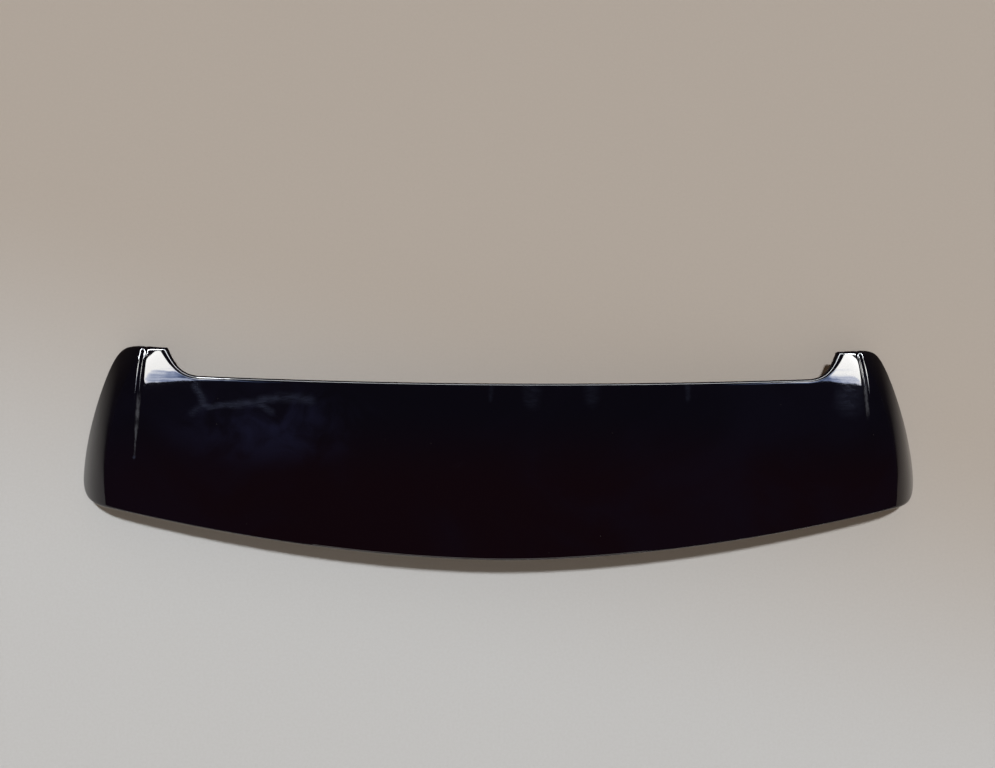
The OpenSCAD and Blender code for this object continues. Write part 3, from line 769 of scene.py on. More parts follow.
# %% [markdown]
# ## Studs
#
# A stud is a square-headed M6 bolt that is dropped through its boss: the square can't
# turn under the skin while the nut is run up inside the tailgate. The thread is real
# geometry, because its crests glint one by one: the radius falls from crest to root
# along the helix, and every angle starts the same wave a little higher. A Screw modifier
# could wind a thread as well, but would leave the ends of the helix to be closed by hand.

# %% Studs
THREAD_DEPTH, THREAD_PITCH, THREAD_ROWS = 0.6, 1.0, 192
# flat crests and steeper flanks, then how the thread runs in at the tip and out again
CREST_CUT, FLANK_GAIN, RUN_IN, RUN_OUT, RUN_END = 0.2, 1.35, 0.6, 1.5, 1.2
# power and rounding of the square head, rise of the neck, a hair's breadth
HEAD_POWER, HEAD_ROUND, NECK_RISE, NEARLY = 14, 0.5, 0.3, 0.01


def stud_radius(low, neck, seat):
    """The radius rule of one stud. The head is a squircle, (|cos|^n + |sin|^n)^(-1/n).
    The thread is a triangle wave of (height / pitch - angle / full turn), cut off at its
    crests, which runs in at the tip and out under the neck."""
    def rule(angle, r, z):
        """Radii at an angle, for the profile's radii and heights."""
        n = HEAD_POWER
        square = (np.abs(np.cos(angle)) ** n + np.abs(np.sin(angle)) ** n) ** (-1 / n)
        turns = z / THREAD_PITCH - angle / (2 * math.pi)
        wave = np.abs(2 * (turns % 1) - 1)
        groove = THREAD_DEPTH * np.clip(FLANK_GAIN * wave - CREST_CUT, 0, 1)
        runs = smooth((z - low) / RUN_IN) * smooth((neck - RUN_END - z) / RUN_OUT)
        threaded = r - groove * runs * (r > STUD_R - THREAD_DEPTH / 2)
        plain = np.where(z < neck, threaded, r + 0 * angle)
        return np.where(z > seat - NEARLY, r * square, plain)
    return rule


studs = []
for number, (place, seat) in enumerate(zip(stud_places, head_seats), 1):
    x, y, z = place
    neck = z - WASHER_T
    low = neck - STUD_REACH
    half_w, top = STUD_HEAD_W / 2, seat + STUD_HEAD_T
    profile = [(0, low), (STUD_R - STUD_CHAMFER, low)]
    profile += [(STUD_R, h) for h in np.linspace(low + STUD_CHAMFER, neck, THREAD_ROWS)]
    profile += [(NECK_R, neck + NECK_RISE), (NECK_R, seat - 2 * NEARLY)]
    profile += fillet(half_w - HEAD_ROUND, seat + HEAD_ROUND, HEAD_ROUND, -90, 0, 3)
    profile += fillet(half_w - HEAD_ROUND, top - HEAD_ROUND, HEAD_ROUND, 0, 90, 3)
    profile += [(half_w / 2, top), (0, top)]
    grid = turned(profile, (x, y, 0), 64, stud_radius(low, neck, seat))
    stud, _ = grid_object(f"threaded_stud_{number}", grid, True, True)
    sharpen(stud, 50)
    studs.append(outward_faces(stud))

# %% [markdown]
# ## Foam washers
#
# Under each boss a foam ring keeps rain out of the stud's hole. It is punched from sheet,
# so its edges are crisp, but the punch squeezes it while it cuts: when the foam comes back,
# its walls bow in a little and aren't quite round. A plain ring would look like rubber.

# %% Foam washers
WASHER_BOW, WASHER_WAVE, WASHER_ROUND = 0.12, 0.03, 0.3


def foam_ring(number, place):
    """A punched foam ring: crisp cut edges, a wall that bows in a little, and a gentle
    unevenness round the turn, r less a small wave of the angle."""
    inner, outer = NECK_R + STUD_CLEAR, BOSS_R
    profile = ring_profile(inner, outer, place[2] - WASHER_T, place[2], WASHER_ROUND)

    def rule(angle, r, z):
        """Radii at an angle, for the profile's radii and heights."""
        middle = 1 - np.abs((z - place[2] + WASHER_T / 2) / (WASHER_T / 2))
        outward = np.sign(r - (inner + outer) / 2)
        uneven = WASHER_WAVE * (1 + np.sin(3 * angle + number) * np.sin(5 * angle))
        return r - outward * WASHER_BOW * middle - outward * uneven
    return turned(profile, (place[0], place[1], 0), 72, rule)


washers = []
for number, place in enumerate(stud_places, 1):
    washer, _ = grid_object(f"foam_washer_{number}", foam_ring(number, place), True, True)
    sharpen(washer, 50)
    washers.append(outward_faces(washer))

# %% [markdown]
# ## Retaining clips
#
# The two retaining clips are the push-in kind, moulded in nylon: a stem that bites in
# the panel's boss, a round flange, and a tail of springy fins that snaps into a hole in
# the roof edge. Each fin is drawn as it comes off the tool, thin at its rim and curved
# back at its root.

# %% Retaining clips
CLIP_FLANGE_R, CLIP_FLANGE_T, CLIP_FINS, CLIP_CORE_R = 8.0, 2.0, 3, CLIP_R * 0.62
CLIP_ROUND, STEM_STEP, FIN_ROUND = 0.5, 1.2, 0.18


def clip_profile():
    """Half section of a clip, from the tail's tip round its fins up to the stem. The back
    of a fin falls from its rim to the core with a share of the way to the power 0.6."""
    top, fin_h, tail = CLIP_SEAT_Z, CLIP_REACH / (CLIP_FINS + 1), CLIP_SEAT_Z - CLIP_FLANGE_T
    e, rim = CLIP_ROUND, CLIP_FLANGE_R - CLIP_ROUND
    section = [(0, top + CLIP_NECK)]
    section += fillet(CLIP_R - e, top + CLIP_NECK - e, e, 90, 0, 3)
    section += [(CLIP_R, top + STEM_STEP), (CLIP_R, top)]
    section += fillet(rim, top - e, e, 90, 0, 3)
    section += fillet(rim, tail + e, e, 0, -90, 3)
    section.append((CLIP_CORE_R + e, tail))
    for i in range(CLIP_FINS):
        start = tail - fin_h * i
        section.append((CLIP_CORE_R, start - fin_h * 0.3))
        section.append((CLIP_CORE_R + 0.1, start - fin_h * 0.42))
        section += fillet(CLIP_R - FIN_ROUND, start - fin_h * 0.6, FIN_ROUND, 60, -60, 3)
        section += [(mix(CLIP_R, CLIP_CORE_R, t**0.6), start - fin_h * mix(0.66, 1.2, t))
                    for t in (0.25, 0.5, 0.75, 1)]
    low = tail - CLIP_REACH
    section += [(CLIP_CORE_R, low + 1.4), (CLIP_CORE_R * 0.82, low + 0.5)]
    section += [(CLIP_CORE_R * 0.5, low), (0, low)]
    return section[::-1]


clips = []
for side, name in ((-1, "left"), (1, "right")):
    grid = turned(clip_profile(), (side * CLIP_X, CLIP_Y, 0), 56)
    clip, _ = grid_object(f"push_clip_{name}", grid, True, True)
    sharpen(clip, 40)
    clips.append(outward_faces(clip))

# %% [markdown]
# ## Foam seals and pads
#
# Strips of self-adhesive foam close the gap to the tailgate. A cut strip has soft
# corners and ends that are sheared square, and its face waves a little where the glue
# holds it more or less firmly. So each strip is a rounded section carried along the
# part, with that slow wave added on its free side only.

# %% Strips
# a strip: width, thickness, glue gap, distance from the flange's edge
SEAL_W, SEAL_T, SEAL_GAP, SEAL_EDGE = 10.0, 4.0, 0.3, 3.0
# the side strips: gap, distance inside the wall, how far their ends pass it, their lean
SIDE_GAP, SIDE_EDGE, SIDE_ENDS, SIDE_LEAN = 0.45, 11.0, 12.0, 0.6
# the pads under the horns: margin and reach; height of the waves on a free face
PAD_MARGIN, PAD_REACH, FOAM_WAVE = 5.0, 18.0, 0.06


def slow_wave(place, long, short):
    """Unevenness of a free face: one plus the product of two sines of the place, whose
    lengths are long and short, times a small height."""
    return FOAM_WAVE * (1 + np.sin(place / long) * np.sin(place / short))


def flange_under(x, front_y, inside):
    """Underside of the flat flange, a distance inside its front edge: straight between
    the heights at the edge and at the flange's inner side."""
    edge = panel_under(x, front_y, front_y)
    inner = panel_under(x, front_y - FLANGE_W, front_y)
    return mix(edge, inner, inside / FLANGE_W)


def flat_strip(name, x, front_y):
    """A strip under the flange along the front, for stations x from left to right."""
    signed, x = x, np.abs(x)
    far, near = front_y - SEAL_EDGE, front_y - SEAL_EDGE - SEAL_W
    far_z = flange_under(x, front_y, SEAL_EDGE) - SEAL_GAP
    near_z = flange_under(x, front_y, SEAL_EDGE + SEAL_W) - SEAL_GAP
    rise = slow_wave(signed, 23.0, 7.3)
    edges = [np.stack([signed, y, z], 1) for y, z in (
        (near, near_z), (far, far_z), (far, far_z - SEAL_T + rise),
        (near, near_z - SEAL_T + rise))]
    strip, _ = grid_object(name, strip_grid(*edges), True, False)
    sharpen(strip, 60)
    return outward_faces(strip)


def wall_strip(name, side):
    """A strip inside a side wall, between two depths measured square to the outside."""
    y = np.linspace(WIDE_Y - SIDE_ENDS, FRONT_CORNER_Y + SIDE_ENDS, 70)
    low_x = side_x(y) - SIDE_EDGE
    high_x = low_x - SEAL_W * SIDE_LEAN
    top = SKIN_T + SIDE_GAP
    deep = top + SEAL_T - slow_wave(y, 19.0, 6.1)
    edges = [np.stack([side * x, y, plain_z(x, y) - depth * steep(x, y)], 1)
             for x, depth in ((low_x, top), (high_x, top), (high_x, deep), (low_x, deep))]
    strip, _ = grid_object(name, strip_grid(*edges), True, False)
    sharpen(strip, 60)
    return outward_faces(strip)


x_seal = np.linspace(-LEAD_X, LEAD_X, 260)
foam_strips = {"front_seal": flat_strip("foam_front", x_seal, lead_y(x_seal) - PANEL_EDGE)}
for side, name in ((-1, "left"), (1, "right")):
    foam_strips[f"side_seal_{name}"] = wall_strip(f"foam_side_{name}", side)
    first = HORN_X + PANEL_EDGE + PAD_MARGIN
    x_pad = np.linspace(first, first + PAD_REACH, 24)
    foam_strips[f"horn_pad_{name}"] = flat_strip(
        f"foam_horn_{name}", side * x_pad, horn_front_y(x_pad, PANEL_EDGE))

# %% [markdown]
# ## Every piece takes its place
#
# Each fine piece now stands for its solid, whose imported mesh is hidden, and rides on the
# one body there is. The foam pieces fill their solids.

# %% Pieces, nodes and slots
pieces = [(painted_skin, "gloss_black", "outer_skin"),
          (moulded_panel, "grained_black", "inner_panel")]
pieces += [(stud, "zinc_steel", f"stud_{n}") for n, stud in enumerate(studs, 1)]
pieces += [(ring, "foam", f"stud_washer_{n}") for n, ring in enumerate(washers, 1)]
pieces += [(strip, "foam", node) for node, strip in foam_strips.items()]
pieces += [(clip, "nylon", f"retaining_clip_{side}")
           for side, clip in zip(("left", "right"), clips)]
for piece, slot, node in pieces:
    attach(piece, "root")
    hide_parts(node)
print("pieces:", len(pieces))

# %% [markdown]
# ## Building materials from nodes
#
# A material is a small network. It could be wired by hand in the Shader Editor, but as
# text it can be read and changed. One helper adds a node and fills its sockets with values
# or links, and the others are short words for what is used again and again. Patterns read
# Object coordinates, which are metres here, so a scale of 1000 means features of a
# millimetre.

# %% Node helpers
def add(tree, kind, sockets=None, **settings):
    """A shader node, with its settings and sockets filled in; a socket may take a link."""
    made = tree.nodes.new("ShaderNode" + kind)
    for key, value in settings.items():
        setattr(made, key, value)
    for key, value in (sockets or {}).items():
        if isinstance(value, bpy.types.NodeSocket):
            tree.links.new(value, made.inputs[key])
        else:
            made.inputs[key].default_value = value
    return made


def maths(tree, operation, a, b=0.0, clamp=False):
    """The output of a Math node on two values or links."""
    return add(tree, "Math", {0: a, 1: b}, operation=operation, use_clamp=clamp).outputs[0]


def vectors(tree, operation, a, b=(0, 0, 0)):
    """The vector output of a Vector Math node."""
    return add(tree, "VectorMath", {0: a, 1: b}, operation=operation).outputs[0]


def eased(tree, value, low, high, to_low=0.0, to_high=1.0):
    """A smooth step of the value from low to high, put out between the two other numbers."""
    sockets = {"Value": value, "From Min": low, "From Max": high, "To Min": to_low,
               "To Max": to_high}
    return add(tree, "MapRange", sockets, interpolation_type="SMOOTHSTEP").outputs[0]


def blend(tree, mask, a, b):
    """Colour a where the mask is 0, colour b where it is 1."""
    made = add(tree, "Mix", data_type="RGBA")
    for socket, value in ((made.inputs[0], mask), (made.inputs[6], a), (made.inputs[7], b)):
        if isinstance(value, bpy.types.NodeSocket):
            tree.links.new(value, socket)
        else:
            socket.default_value = value if isinstance(value, float) else (*value, 1)
    return made.outputs[2]


def noise(tree, where, scale, detail=3.0, rough=0.5, bend=0.0):
    """Values of a noise texture, about 0.5 on average."""
    sockets = {"Vector": where, "Scale": scale, "Detail": detail, "Roughness": rough,
               "Distortion": bend}
    return add(tree, "TexNoise", sockets).outputs["Fac"]


print("a pattern with a scale of 1000 has cells of", 1000 * MM, "mm")

# %% [markdown]
# Every material here starts from Blender's own Principled shader. What changes over the
# surface is linked to its sockets, and what doesn't is a plain value on the socket, so
# that a baked copy of the part keeps the same look.

# %% Material helpers
def start_material(name):
    """A new material, its tree, its Principled shader and its Object coordinates."""
    made = bpy.data.materials.new(name)
    made.use_nodes = True
    tree = made.node_tree
    shader = tree.nodes["Principled BSDF"]
    return made, tree, shader, add(tree, "TexCoord").outputs["Object"]


def feed(tree, shader, **sockets):
    """Set the shader's sockets, named with _ for a space, to values or links."""
    for key, value in sockets.items():
        socket = shader.inputs[key.replace("_", " ")]
        if isinstance(value, bpy.types.NodeSocket):
            tree.links.new(value, socket)
        elif isinstance(value, tuple):
            socket.default_value = (*value, 1)
        else:
            socket.default_value = value


def bump(tree, height, distance):
    """The normal of a Bump node whose height of 1 stands for that distance in metres."""
    return add(tree, "Bump", {"Height": height, "Distance": distance}).outputs[0]


def length(tree, way):
    """The length of a vector."""
    return add(tree, "VectorMath", {0: way}, operation="LENGTH").outputs["Value"]


def product(tree, way, other):
    """The dot product of a linked vector with a fixed one."""
    return add(tree, "VectorMath", {0: way, 1: tuple(other)},
               operation="DOT_PRODUCT").outputs["Value"]


# times a place, this leaves its height out
FLATTEN = 1, 1, 0
print("material helpers are ready")

# %% [markdown]
# ## Shared effects
#
# Three effects turn up on more than one finish, so each is built once as a node group:
# dust specks, the fine grain of a moulding tool, and soft patches where a surface has
# been wiped or has aged. A group puts out values only; shaders stay in the materials.

# %% Shared effects as node groups
def new_group(name, inputs, output):
    """A node group with named float inputs and their defaults, a Vector input and one
    float output. Gives the group, its input sockets by name and its output node."""
    group = bpy.data.node_groups.new(name, "ShaderNodeTree")
    group.interface.new_socket(name="Vector", in_out="INPUT", socket_type="NodeSocketVector")
    for key, value in inputs.items():
        socket = group.interface.new_socket(name=key, in_out="INPUT",
                                            socket_type="NodeSocketFloat")
        socket.default_value = value
    group.interface.new_socket(name=output, in_out="OUTPUT", socket_type="NodeSocketFloat")
    return group, group.nodes.new("NodeGroupInput").outputs, group.nodes.new("NodeGroupOutput")


dust_group, given, out = new_group("dust_specks", {"Scale": 90.0, "Share": 0.1, "Size": 0.1},
                                   "Mask")
dust_cells = add(dust_group, "TexVoronoi", {"Vector": given["Vector"], "Scale": given["Scale"]})
chance = add(dust_group, "SeparateColor", {"Color": dust_cells.outputs["Color"]}).outputs[0]
chosen = maths(dust_group, "LESS_THAN", chance, given["Share"])
from_middle = maths(dust_group, "DIVIDE", dust_cells.outputs["Distance"], given["Size"])
dot = eased(dust_group, from_middle, 1.0, 0.4)
dust_group.links.new(maths(dust_group, "MULTIPLY", dot, chosen), out.inputs["Mask"])

grain_group, given, out = new_group("tool_grain", {"Scale": 900.0, "Softness": 0.5}, "Height")
pebbles = add(grain_group, "TexVoronoi", {"Vector": given["Vector"], "Scale": given["Scale"],
                                          "Smoothness": given["Softness"]},
              feature="SMOOTH_F1").outputs["Distance"]
tool_marks = noise(grain_group, given["Vector"], 2200.0, 2.0)
grain_height = maths(grain_group, "ADD", maths(grain_group, "MULTIPLY", pebbles, 0.75),
                     maths(grain_group, "MULTIPLY", tool_marks, 0.25))
grain_group.links.new(grain_height, out.inputs["Height"])

patch_group, given, out = new_group("soft_patches", {"Scale": 9.0, "Low": 0.5, "High": 0.7},
                                    "Mask")
cloud = noise(patch_group, given["Vector"], given["Scale"], 4.0, 0.55, 0.8)
patch_group.links.new(eased(patch_group, cloud, given["Low"], given["High"]),
                      out.inputs["Mask"])


def effect(tree, group, where, **values):
    """Place a group in a material, with its own values."""
    return add(tree, "Group", {"Vector": where, **values}, node_tree=group).outputs[0]


print("node groups:", [g.name for g in bpy.data.node_groups])

# %% [markdown]
# ## Black paint
#
# Gloss black shows almost nothing of itself. What the eye reads is the mirror image of
# the room, a few dust specks, and the traces of a cloth: smears that scatter a little
# light and whose bluish colour is partly painted reflection. A very long, shallow
# waviness, which every moulding has, makes the edge of a mirrored lamp ragged instead of
# ruled, and a pale line along each crease is a painted highlight of its ridge. The smears
# and the painted crease highlight are distances to a line, so they are worked out in the
# material rather than painted on an image.

# %% Where a cloth has left streaks, with painted reflection in their colour
SMEARS = [
    # start and end in the plane of the car, in metres, with a width and a strength
    ((-0.4414, 0.0892), (-0.4262, 0.0631), 0.0095, 0.40),
    ((-0.4261, 0.0616), (-0.4439, 0.0489), 0.0080, 0.28),
    ((-0.4261, 0.0602), (-0.3839, 0.0599), 0.0070, 0.62),
    ((-0.3839, 0.0599), (-0.3239, 0.0724), 0.0090, 0.48),
    ((-0.3239, 0.0724), (-0.2789, 0.0679), 0.0110, 0.30),
    ((-0.3531, 0.0639), (-0.3317, 0.0509), 0.0085, 0.38),
    # this streak at the right horn is painted bluish reflection below the horn's highlight
    ((0.5010, 0.1050), (0.4930, 0.0700), 0.0300, 0.28),
    ((-0.0263, 0.0899), (-0.0263, 0.0679), 0.0045, 0.16),
    ((0.0331, 0.0902), (0.0331, 0.0682), 0.0180, 0.16),
    ((0.1184, 0.0909), (0.1184, 0.0689), 0.0160, 0.13),
    ((0.2565, 0.0904), (0.2565, 0.0704), 0.0060, 0.20),
    ((-0.5229, -0.0108), (-0.5229, -0.0118), 0.0030, 0.70),
]


def smear(tree, flat, start, end, width, strength):
    """A streak left by a cloth, whose pale bluish colour is partly painted reflection: one on
    the line from start to end, and less with the distance from it. The nearest place on the
    line is start + share * way, where the share is the product of (place - start) and the
    way over the way's length squared, kept in 0 to 1."""
    way = np.array([*end, 0.0]) - np.array([*start, 0.0])
    from_start = vectors(tree, "SUBTRACT", flat, (*start, 0.0))
    share = maths(tree, "ADD", product(tree, from_start, way / (way @ way)), clamp=True)
    along = add(tree, "VectorMath", {0: tuple(way), "Scale": share}, operation="SCALE")
    distance = length(tree, vectors(tree, "SUBTRACT", from_start, along.outputs[0]))
    return eased(tree, distance, 0.0, width, strength, 0.0)


paint, tree, shader, where = start_material("black_lacquer")
wander = add(tree, "TexNoise", {"Vector": where, "Scale": 38.0, "Detail": 3.0}).outputs["Color"]
shift = vectors(tree, "MULTIPLY", vectors(tree, "SUBTRACT", wander, (0.5, 0.5, 0.5)),
                (0.013, 0.013, 0.0))
flat = vectors(tree, "ADD", vectors(tree, "MULTIPLY", where, FLATTEN), shift)
# streaks of a cloth: they roughen the lacquer, and their pale bluish colour is partly painted
# reflection
wiped_and_reflection = 0.0
for start, end, width, strength in SMEARS:
    wiped_and_reflection = maths(tree, "MAXIMUM", wiped_and_reflection, smear(tree, flat, start, end, width, strength))
combed = noise(tree, vectors(tree, "MULTIPLY", where, (60, 230, 60)), 1.0, 5.0, 0.6, 0.8)
wiped_and_reflection = maths(tree, "MULTIPLY", wiped_and_reflection, eased(tree, combed, 0.30, 0.72, 0.25, 1.0))
print("wiped streaks:", len(SMEARS))

# %% [markdown]
# Round the streaks lies a haze, an ellipse whose edge is broken up by soft patches. It
# roughens the lacquer a little, and its bluish colour is painted reflection. A much
# fainter veil runs over the whole top, and dust has settled everywhere.

# %% Haze with painted reflection, veil and dust
HAZE_AT, HAZE_SQUEEZE = (-0.335, 0.035, 0.1), (5.5, 13.0, 0.0)
haze_at = vectors(tree, "MULTIPLY", vectors(tree, "SUBTRACT", where, HAZE_AT), HAZE_SQUEEZE)
patchy = effect(tree, patch_group, where, Scale=17.0, Low=0.35, High=0.68)
# the haze: a little rougher, with painted bluish reflection in its colour
haze_and_reflection = maths(tree, "MULTIPLY", eased(tree, length(tree, haze_at), 1.0, 0.1), patchy)
veil = effect(tree, patch_group, where, Scale=5.0, Low=0.42, High=0.75)
specks = effect(tree, dust_group, where, Scale=110.0, Share=0.07, Size=0.055)
print("haze lies round", HAZE_AT[:2], "in metres")

# %% [markdown]
# The painted highlight along each crease, which stands for a lamp mirrored on its ridge,
# follows the crease's own line, read back here from the same sizes. It is thinnest at its
# rear end and breaks up into pieces. On the right the line is shorter.

# %% Painted highlight along the creases
across, along = add(tree, "SeparateXYZ", {"Vector": where}).outputs[:2]
crease_middle = HALF - CREASE_INSET + CREASE_TOE * (TIP_Y - MID_STATION) / TIP_Y
line = maths(tree, "SUBTRACT", crease_middle * MM,
             maths(tree, "MULTIPLY", along, CREASE_TOE / TIP_Y))
beside = maths(tree, "ABSOLUTE", maths(tree, "SUBTRACT", maths(tree, "ABSOLUTE", across), line))
half_width = eased(tree, along, 0.013, 0.036, 0.0014, 0.0034)
# the painted crease highlight: a pale line for a lamp mirrored on the ridge, broken up by noise
groove = eased(tree, maths(tree, "DIVIDE", beside, half_width), 1.1, 0.3)
highlight_breaks = noise(tree, vectors(tree, "MULTIPLY", where, (260, 90, 60)), 1.0, 3.0)
crease_highlight = maths(tree, "MULTIPLY", groove, eased(tree, highlight_breaks, 0.36, 0.62, 0.15, 1.0))
on_right = maths(tree, "GREATER_THAN", across, 0.0)
from_rear = maths(tree, "SUBTRACT", along, maths(tree, "MULTIPLY", on_right, 0.062))
from_tip = maths(tree, "SUBTRACT", along, maths(tree, "MULTIPLY", on_right, 0.035))
stretch = maths(tree, "MULTIPLY", eased(tree, from_rear, -0.020, 0.008),
                eased(tree, from_tip, 0.088, 0.060))
crease_highlight = maths(tree, "MULTIPLY", crease_highlight, stretch)
print("crease lies", round(crease_middle, 1), "mm from the middle, halfway along the part")

# %% [markdown]
# Colour comes last: the paint turns from a cool black in front to a warm one behind, a
# warmth that is painted reflection. Each trace lies over it as a thin pale film, the
# smears and the haze partly as painted reflection and the crease line as a painted
# highlight. The relief has two waves, the long one of the moulding and the fine orange
# peel of the lacquer.

# %% Colour and relief of the paint
# The warm black behind is painted reflection. Of the tints that follow, the haze's and the cloth's
# are partly painted bluish reflection, and the pale crease tint is a painted highlight.
COOL_BLACK, REFLECTED_WARM_BLACK = (0.0022, 0.0019, 0.0040), (0.0042, 0.0014, 0.0026)
VEIL_TINT, HAZE_REFLECTION_TINT = (0.0040, 0.0036, 0.0090), (0.0075, 0.0080, 0.0215)
CLOTH_REFLECTION_TINT, CREASE_HIGHLIGHT_TINT = (0.0300, 0.0360, 0.0620), (0.052, 0.054, 0.064)
DUST_TINT = (0.10, 0.095, 0.09)
# share of painted warm reflection, growing towards the rear
warm_reflection_share = eased(tree, along, 0.06, -0.06)
base = blend(tree, warm_reflection_share, COOL_BLACK, REFLECTED_WARM_BLACK)
base = blend(tree, maths(tree, "MULTIPLY", veil, 0.35), base, VEIL_TINT)
# painted bluish reflection of the haze
base = blend(tree, maths(tree, "MULTIPLY", haze_and_reflection, 0.75), base, HAZE_REFLECTION_TINT)
# cloth streaks: a pale film, partly painted bluish reflection
base = blend(tree, wiped_and_reflection, base, CLOTH_REFLECTION_TINT)
# painted highlight along each crease
base = blend(tree, crease_highlight, base, CREASE_HIGHLIGHT_TINT)
base = blend(tree, maths(tree, "MULTIPLY", specks, 0.6), base, DUST_TINT)

long_wave = noise(tree, where, 26.0, 2.0, 0.4)
peel = noise(tree, where, 420.0, 1.0)
relief = maths(tree, "ADD", maths(tree, "MULTIPLY", long_wave, 0.9),
               maths(tree, "MULTIPLY", peel, 0.012))
LACQUER_ROUGH, CLOTH_ROUGH, HAZE_ROUGH = 0.05, 0.2, 0.03
rough = maths(tree, "ADD", LACQUER_ROUGH, maths(tree, "MULTIPLY", wiped_and_reflection, CLOTH_ROUGH))
rough = maths(tree, "ADD", rough, maths(tree, "MULTIPLY", haze_and_reflection, HAZE_ROUGH))
feed(tree, shader, Base_Color=base, Roughness=rough, IOR=1.42,
     Normal=bump(tree, relief, 0.0004))
painted_skin.data.materials.append(paint)
print("nodes in the paint:", len(tree.nodes))

# %% [markdown]
# ## The bare inside
#
# The inside of the skin is bare plastic as it leaves the tool: satin, with the tool's
# grain and flow marks. It is a second material, given to the faces of the inner rows.

# %% Bare inside of the skin
bare, tree, shader, where = start_material("bare_moulding")
grain = effect(tree, grain_group, where, Scale=700.0, Softness=0.8)
flow = effect(tree, patch_group, vectors(tree, "MULTIPLY", where, (1, 6, 1)), Scale=4.0,
              Low=0.4, High=0.7)
dusty = effect(tree, dust_group, where, Scale=160.0, Share=0.25, Size=0.08)
shade = blend(tree, maths(tree, "MULTIPLY", flow, 0.6), (0.017, 0.017, 0.018),
              (0.026, 0.025, 0.025))
shade = blend(tree, maths(tree, "MULTIPLY", dusty, 0.4), shade, (0.09, 0.085, 0.08))
feed(tree, shader, Base_Color=shade, Roughness=eased(tree, flow, 0.0, 1.0, 0.42, 0.55),
     IOR=1.5, Normal=bump(tree, grain, 0.00008))
painted_skin.data.materials.append(bare)
inner_faces = np.isin(skin_face_rows, np.arange(outside_rows, skin_grid.shape[1] - 1))
painted_skin.data.polygons.foreach_set("material_index", inner_faces.astype(np.int32))
print("faces left bare inside:", int(inner_faces.sum()), "of", len(inner_faces))

# %% [markdown]
# ## Grained panel
#
# The panel's tool was etched, which leaves fine pebbles and a satin sheen that is rubbed
# brighter in patches. The Booleans left empty material slots behind, so the slots are
# cleared first.

# %% Grained panel
etched, tree, shader, where = start_material("etched_panel")
grain = effect(tree, grain_group, where, Scale=1100.0, Softness=0.55)
rubbed = effect(tree, patch_group, where, Scale=12.0, Low=0.48, High=0.72)
dusty = effect(tree, dust_group, where, Scale=170.0, Share=0.3, Size=0.07)
shade = blend(tree, rubbed, (0.018, 0.018, 0.019), (0.028, 0.028, 0.029))
shade = blend(tree, maths(tree, "MULTIPLY", dusty, 0.45), shade, (0.12, 0.115, 0.105))
feed(tree, shader, Base_Color=shade, Roughness=eased(tree, rubbed, 0.0, 1.0, 0.62, 0.44),
     IOR=1.48, Normal=bump(tree, grain, 0.00022))
moulded_panel.data.materials.clear()
moulded_panel.data.materials.append(etched)
panel_faces = moulded_panel.data.polygons
panel_faces.foreach_set("material_index", np.zeros(len(panel_faces), np.int32))
print("panel slots:", [slot.name for slot in moulded_panel.data.materials])

# %% [markdown]
# ## Foam
#
# Foam is matt, with open pores at its cut faces. Pores of two sizes are two Voronoi
# patterns, and the smaller of both heights is taken. Their pits are darker as well as
# deeper, because light that falls in doesn't come out again.

# %% Foam
foam, tree, shader, where = start_material("cell_foam")
pores = add(tree, "TexVoronoi", {"Vector": where, "Scale": 1500.0}).outputs["Distance"]
large = add(tree, "TexVoronoi", {"Vector": where, "Scale": 620.0}).outputs["Distance"]
pits = maths(tree, "MINIMUM", eased(tree, pores, 0.1, 0.5), eased(tree, large, 0.05, 0.4))
chalky = effect(tree, patch_group, where, Scale=30.0, Low=0.45, High=0.75)
shade = blend(tree, chalky, (0.020, 0.020, 0.021), (0.034, 0.033, 0.033))
shade = blend(tree, eased(tree, pits, 0.5, 0.0, 0.0, 0.8), shade, (0.006, 0.006, 0.006))
feed(tree, shader, Base_Color=shade, Roughness=0.93, IOR=1.4,
     Normal=bump(tree, pits, 0.00025))
for ring in washers + list(foam_strips.values()):
    ring.data.materials.append(foam)
print("foam pieces:", len(washers) + len(foam_strips))

# %% [markdown]
# ## Zinc plate
#
# Zinc plate is bright but cloudy, with a faint warm tinge from its passivation, and duller
# spots where the thread was rolled and the plate is thin.

# %% Zinc plate
zinc, tree, shader, where = start_material("zinc_plate")
cloudy = effect(tree, patch_group, where, Scale=160.0, Low=0.4, High=0.7)
fine = noise(tree, vectors(tree, "MULTIPLY", where, (900, 900, 3000)), 1.0, 2.0)
shade = blend(tree, cloudy, (0.60, 0.60, 0.58), (0.72, 0.70, 0.64))
spots = effect(tree, dust_group, where, Scale=800.0, Share=0.2, Size=0.16)
shade = blend(tree, maths(tree, "MULTIPLY", spots, 0.5), shade, (0.36, 0.34, 0.30))
feed(tree, shader, Base_Color=shade, Metallic=1.0,
     Roughness=eased(tree, maths(tree, "ADD", cloudy, maths(tree, "MULTIPLY", fine, 0.4)),
                     0.0, 1.4, 0.26, 0.42),
     Normal=bump(tree, fine, 0.00002))
for stud in studs:
    stud.data.materials.append(zinc)
print("zinc-plated studs:", len(studs))

# %% [markdown]
# ## Nylon
#
# Natural nylon lets a little light in, so it looks milky, and its surface is a little dull
# from the tool. A small share of subsurface scattering gives that softness.

# %% Nylon
nylon, tree, shader, where = start_material("natural_nylon")
milky = effect(tree, patch_group, where, Scale=120.0, Low=0.4, High=0.7)
grain = effect(tree, grain_group, where, Scale=1800.0, Softness=0.9)
specks = effect(tree, dust_group, where, Scale=700.0, Share=0.12, Size=0.12)
shade = blend(tree, milky, (0.70, 0.68, 0.61), (0.77, 0.755, 0.70))
shade = blend(tree, maths(tree, "MULTIPLY", specks, 0.6), shade, (0.34, 0.32, 0.28))
feed(tree, shader, Base_Color=shade, Roughness=0.42, IOR=1.53, Subsurface_Weight=0.12,
     Subsurface_Scale=0.0015, Normal=bump(tree, grain, 0.00004))
for clip in clips:
    clip.data.materials.append(nylon)
print("nylon clips:", len(clips))
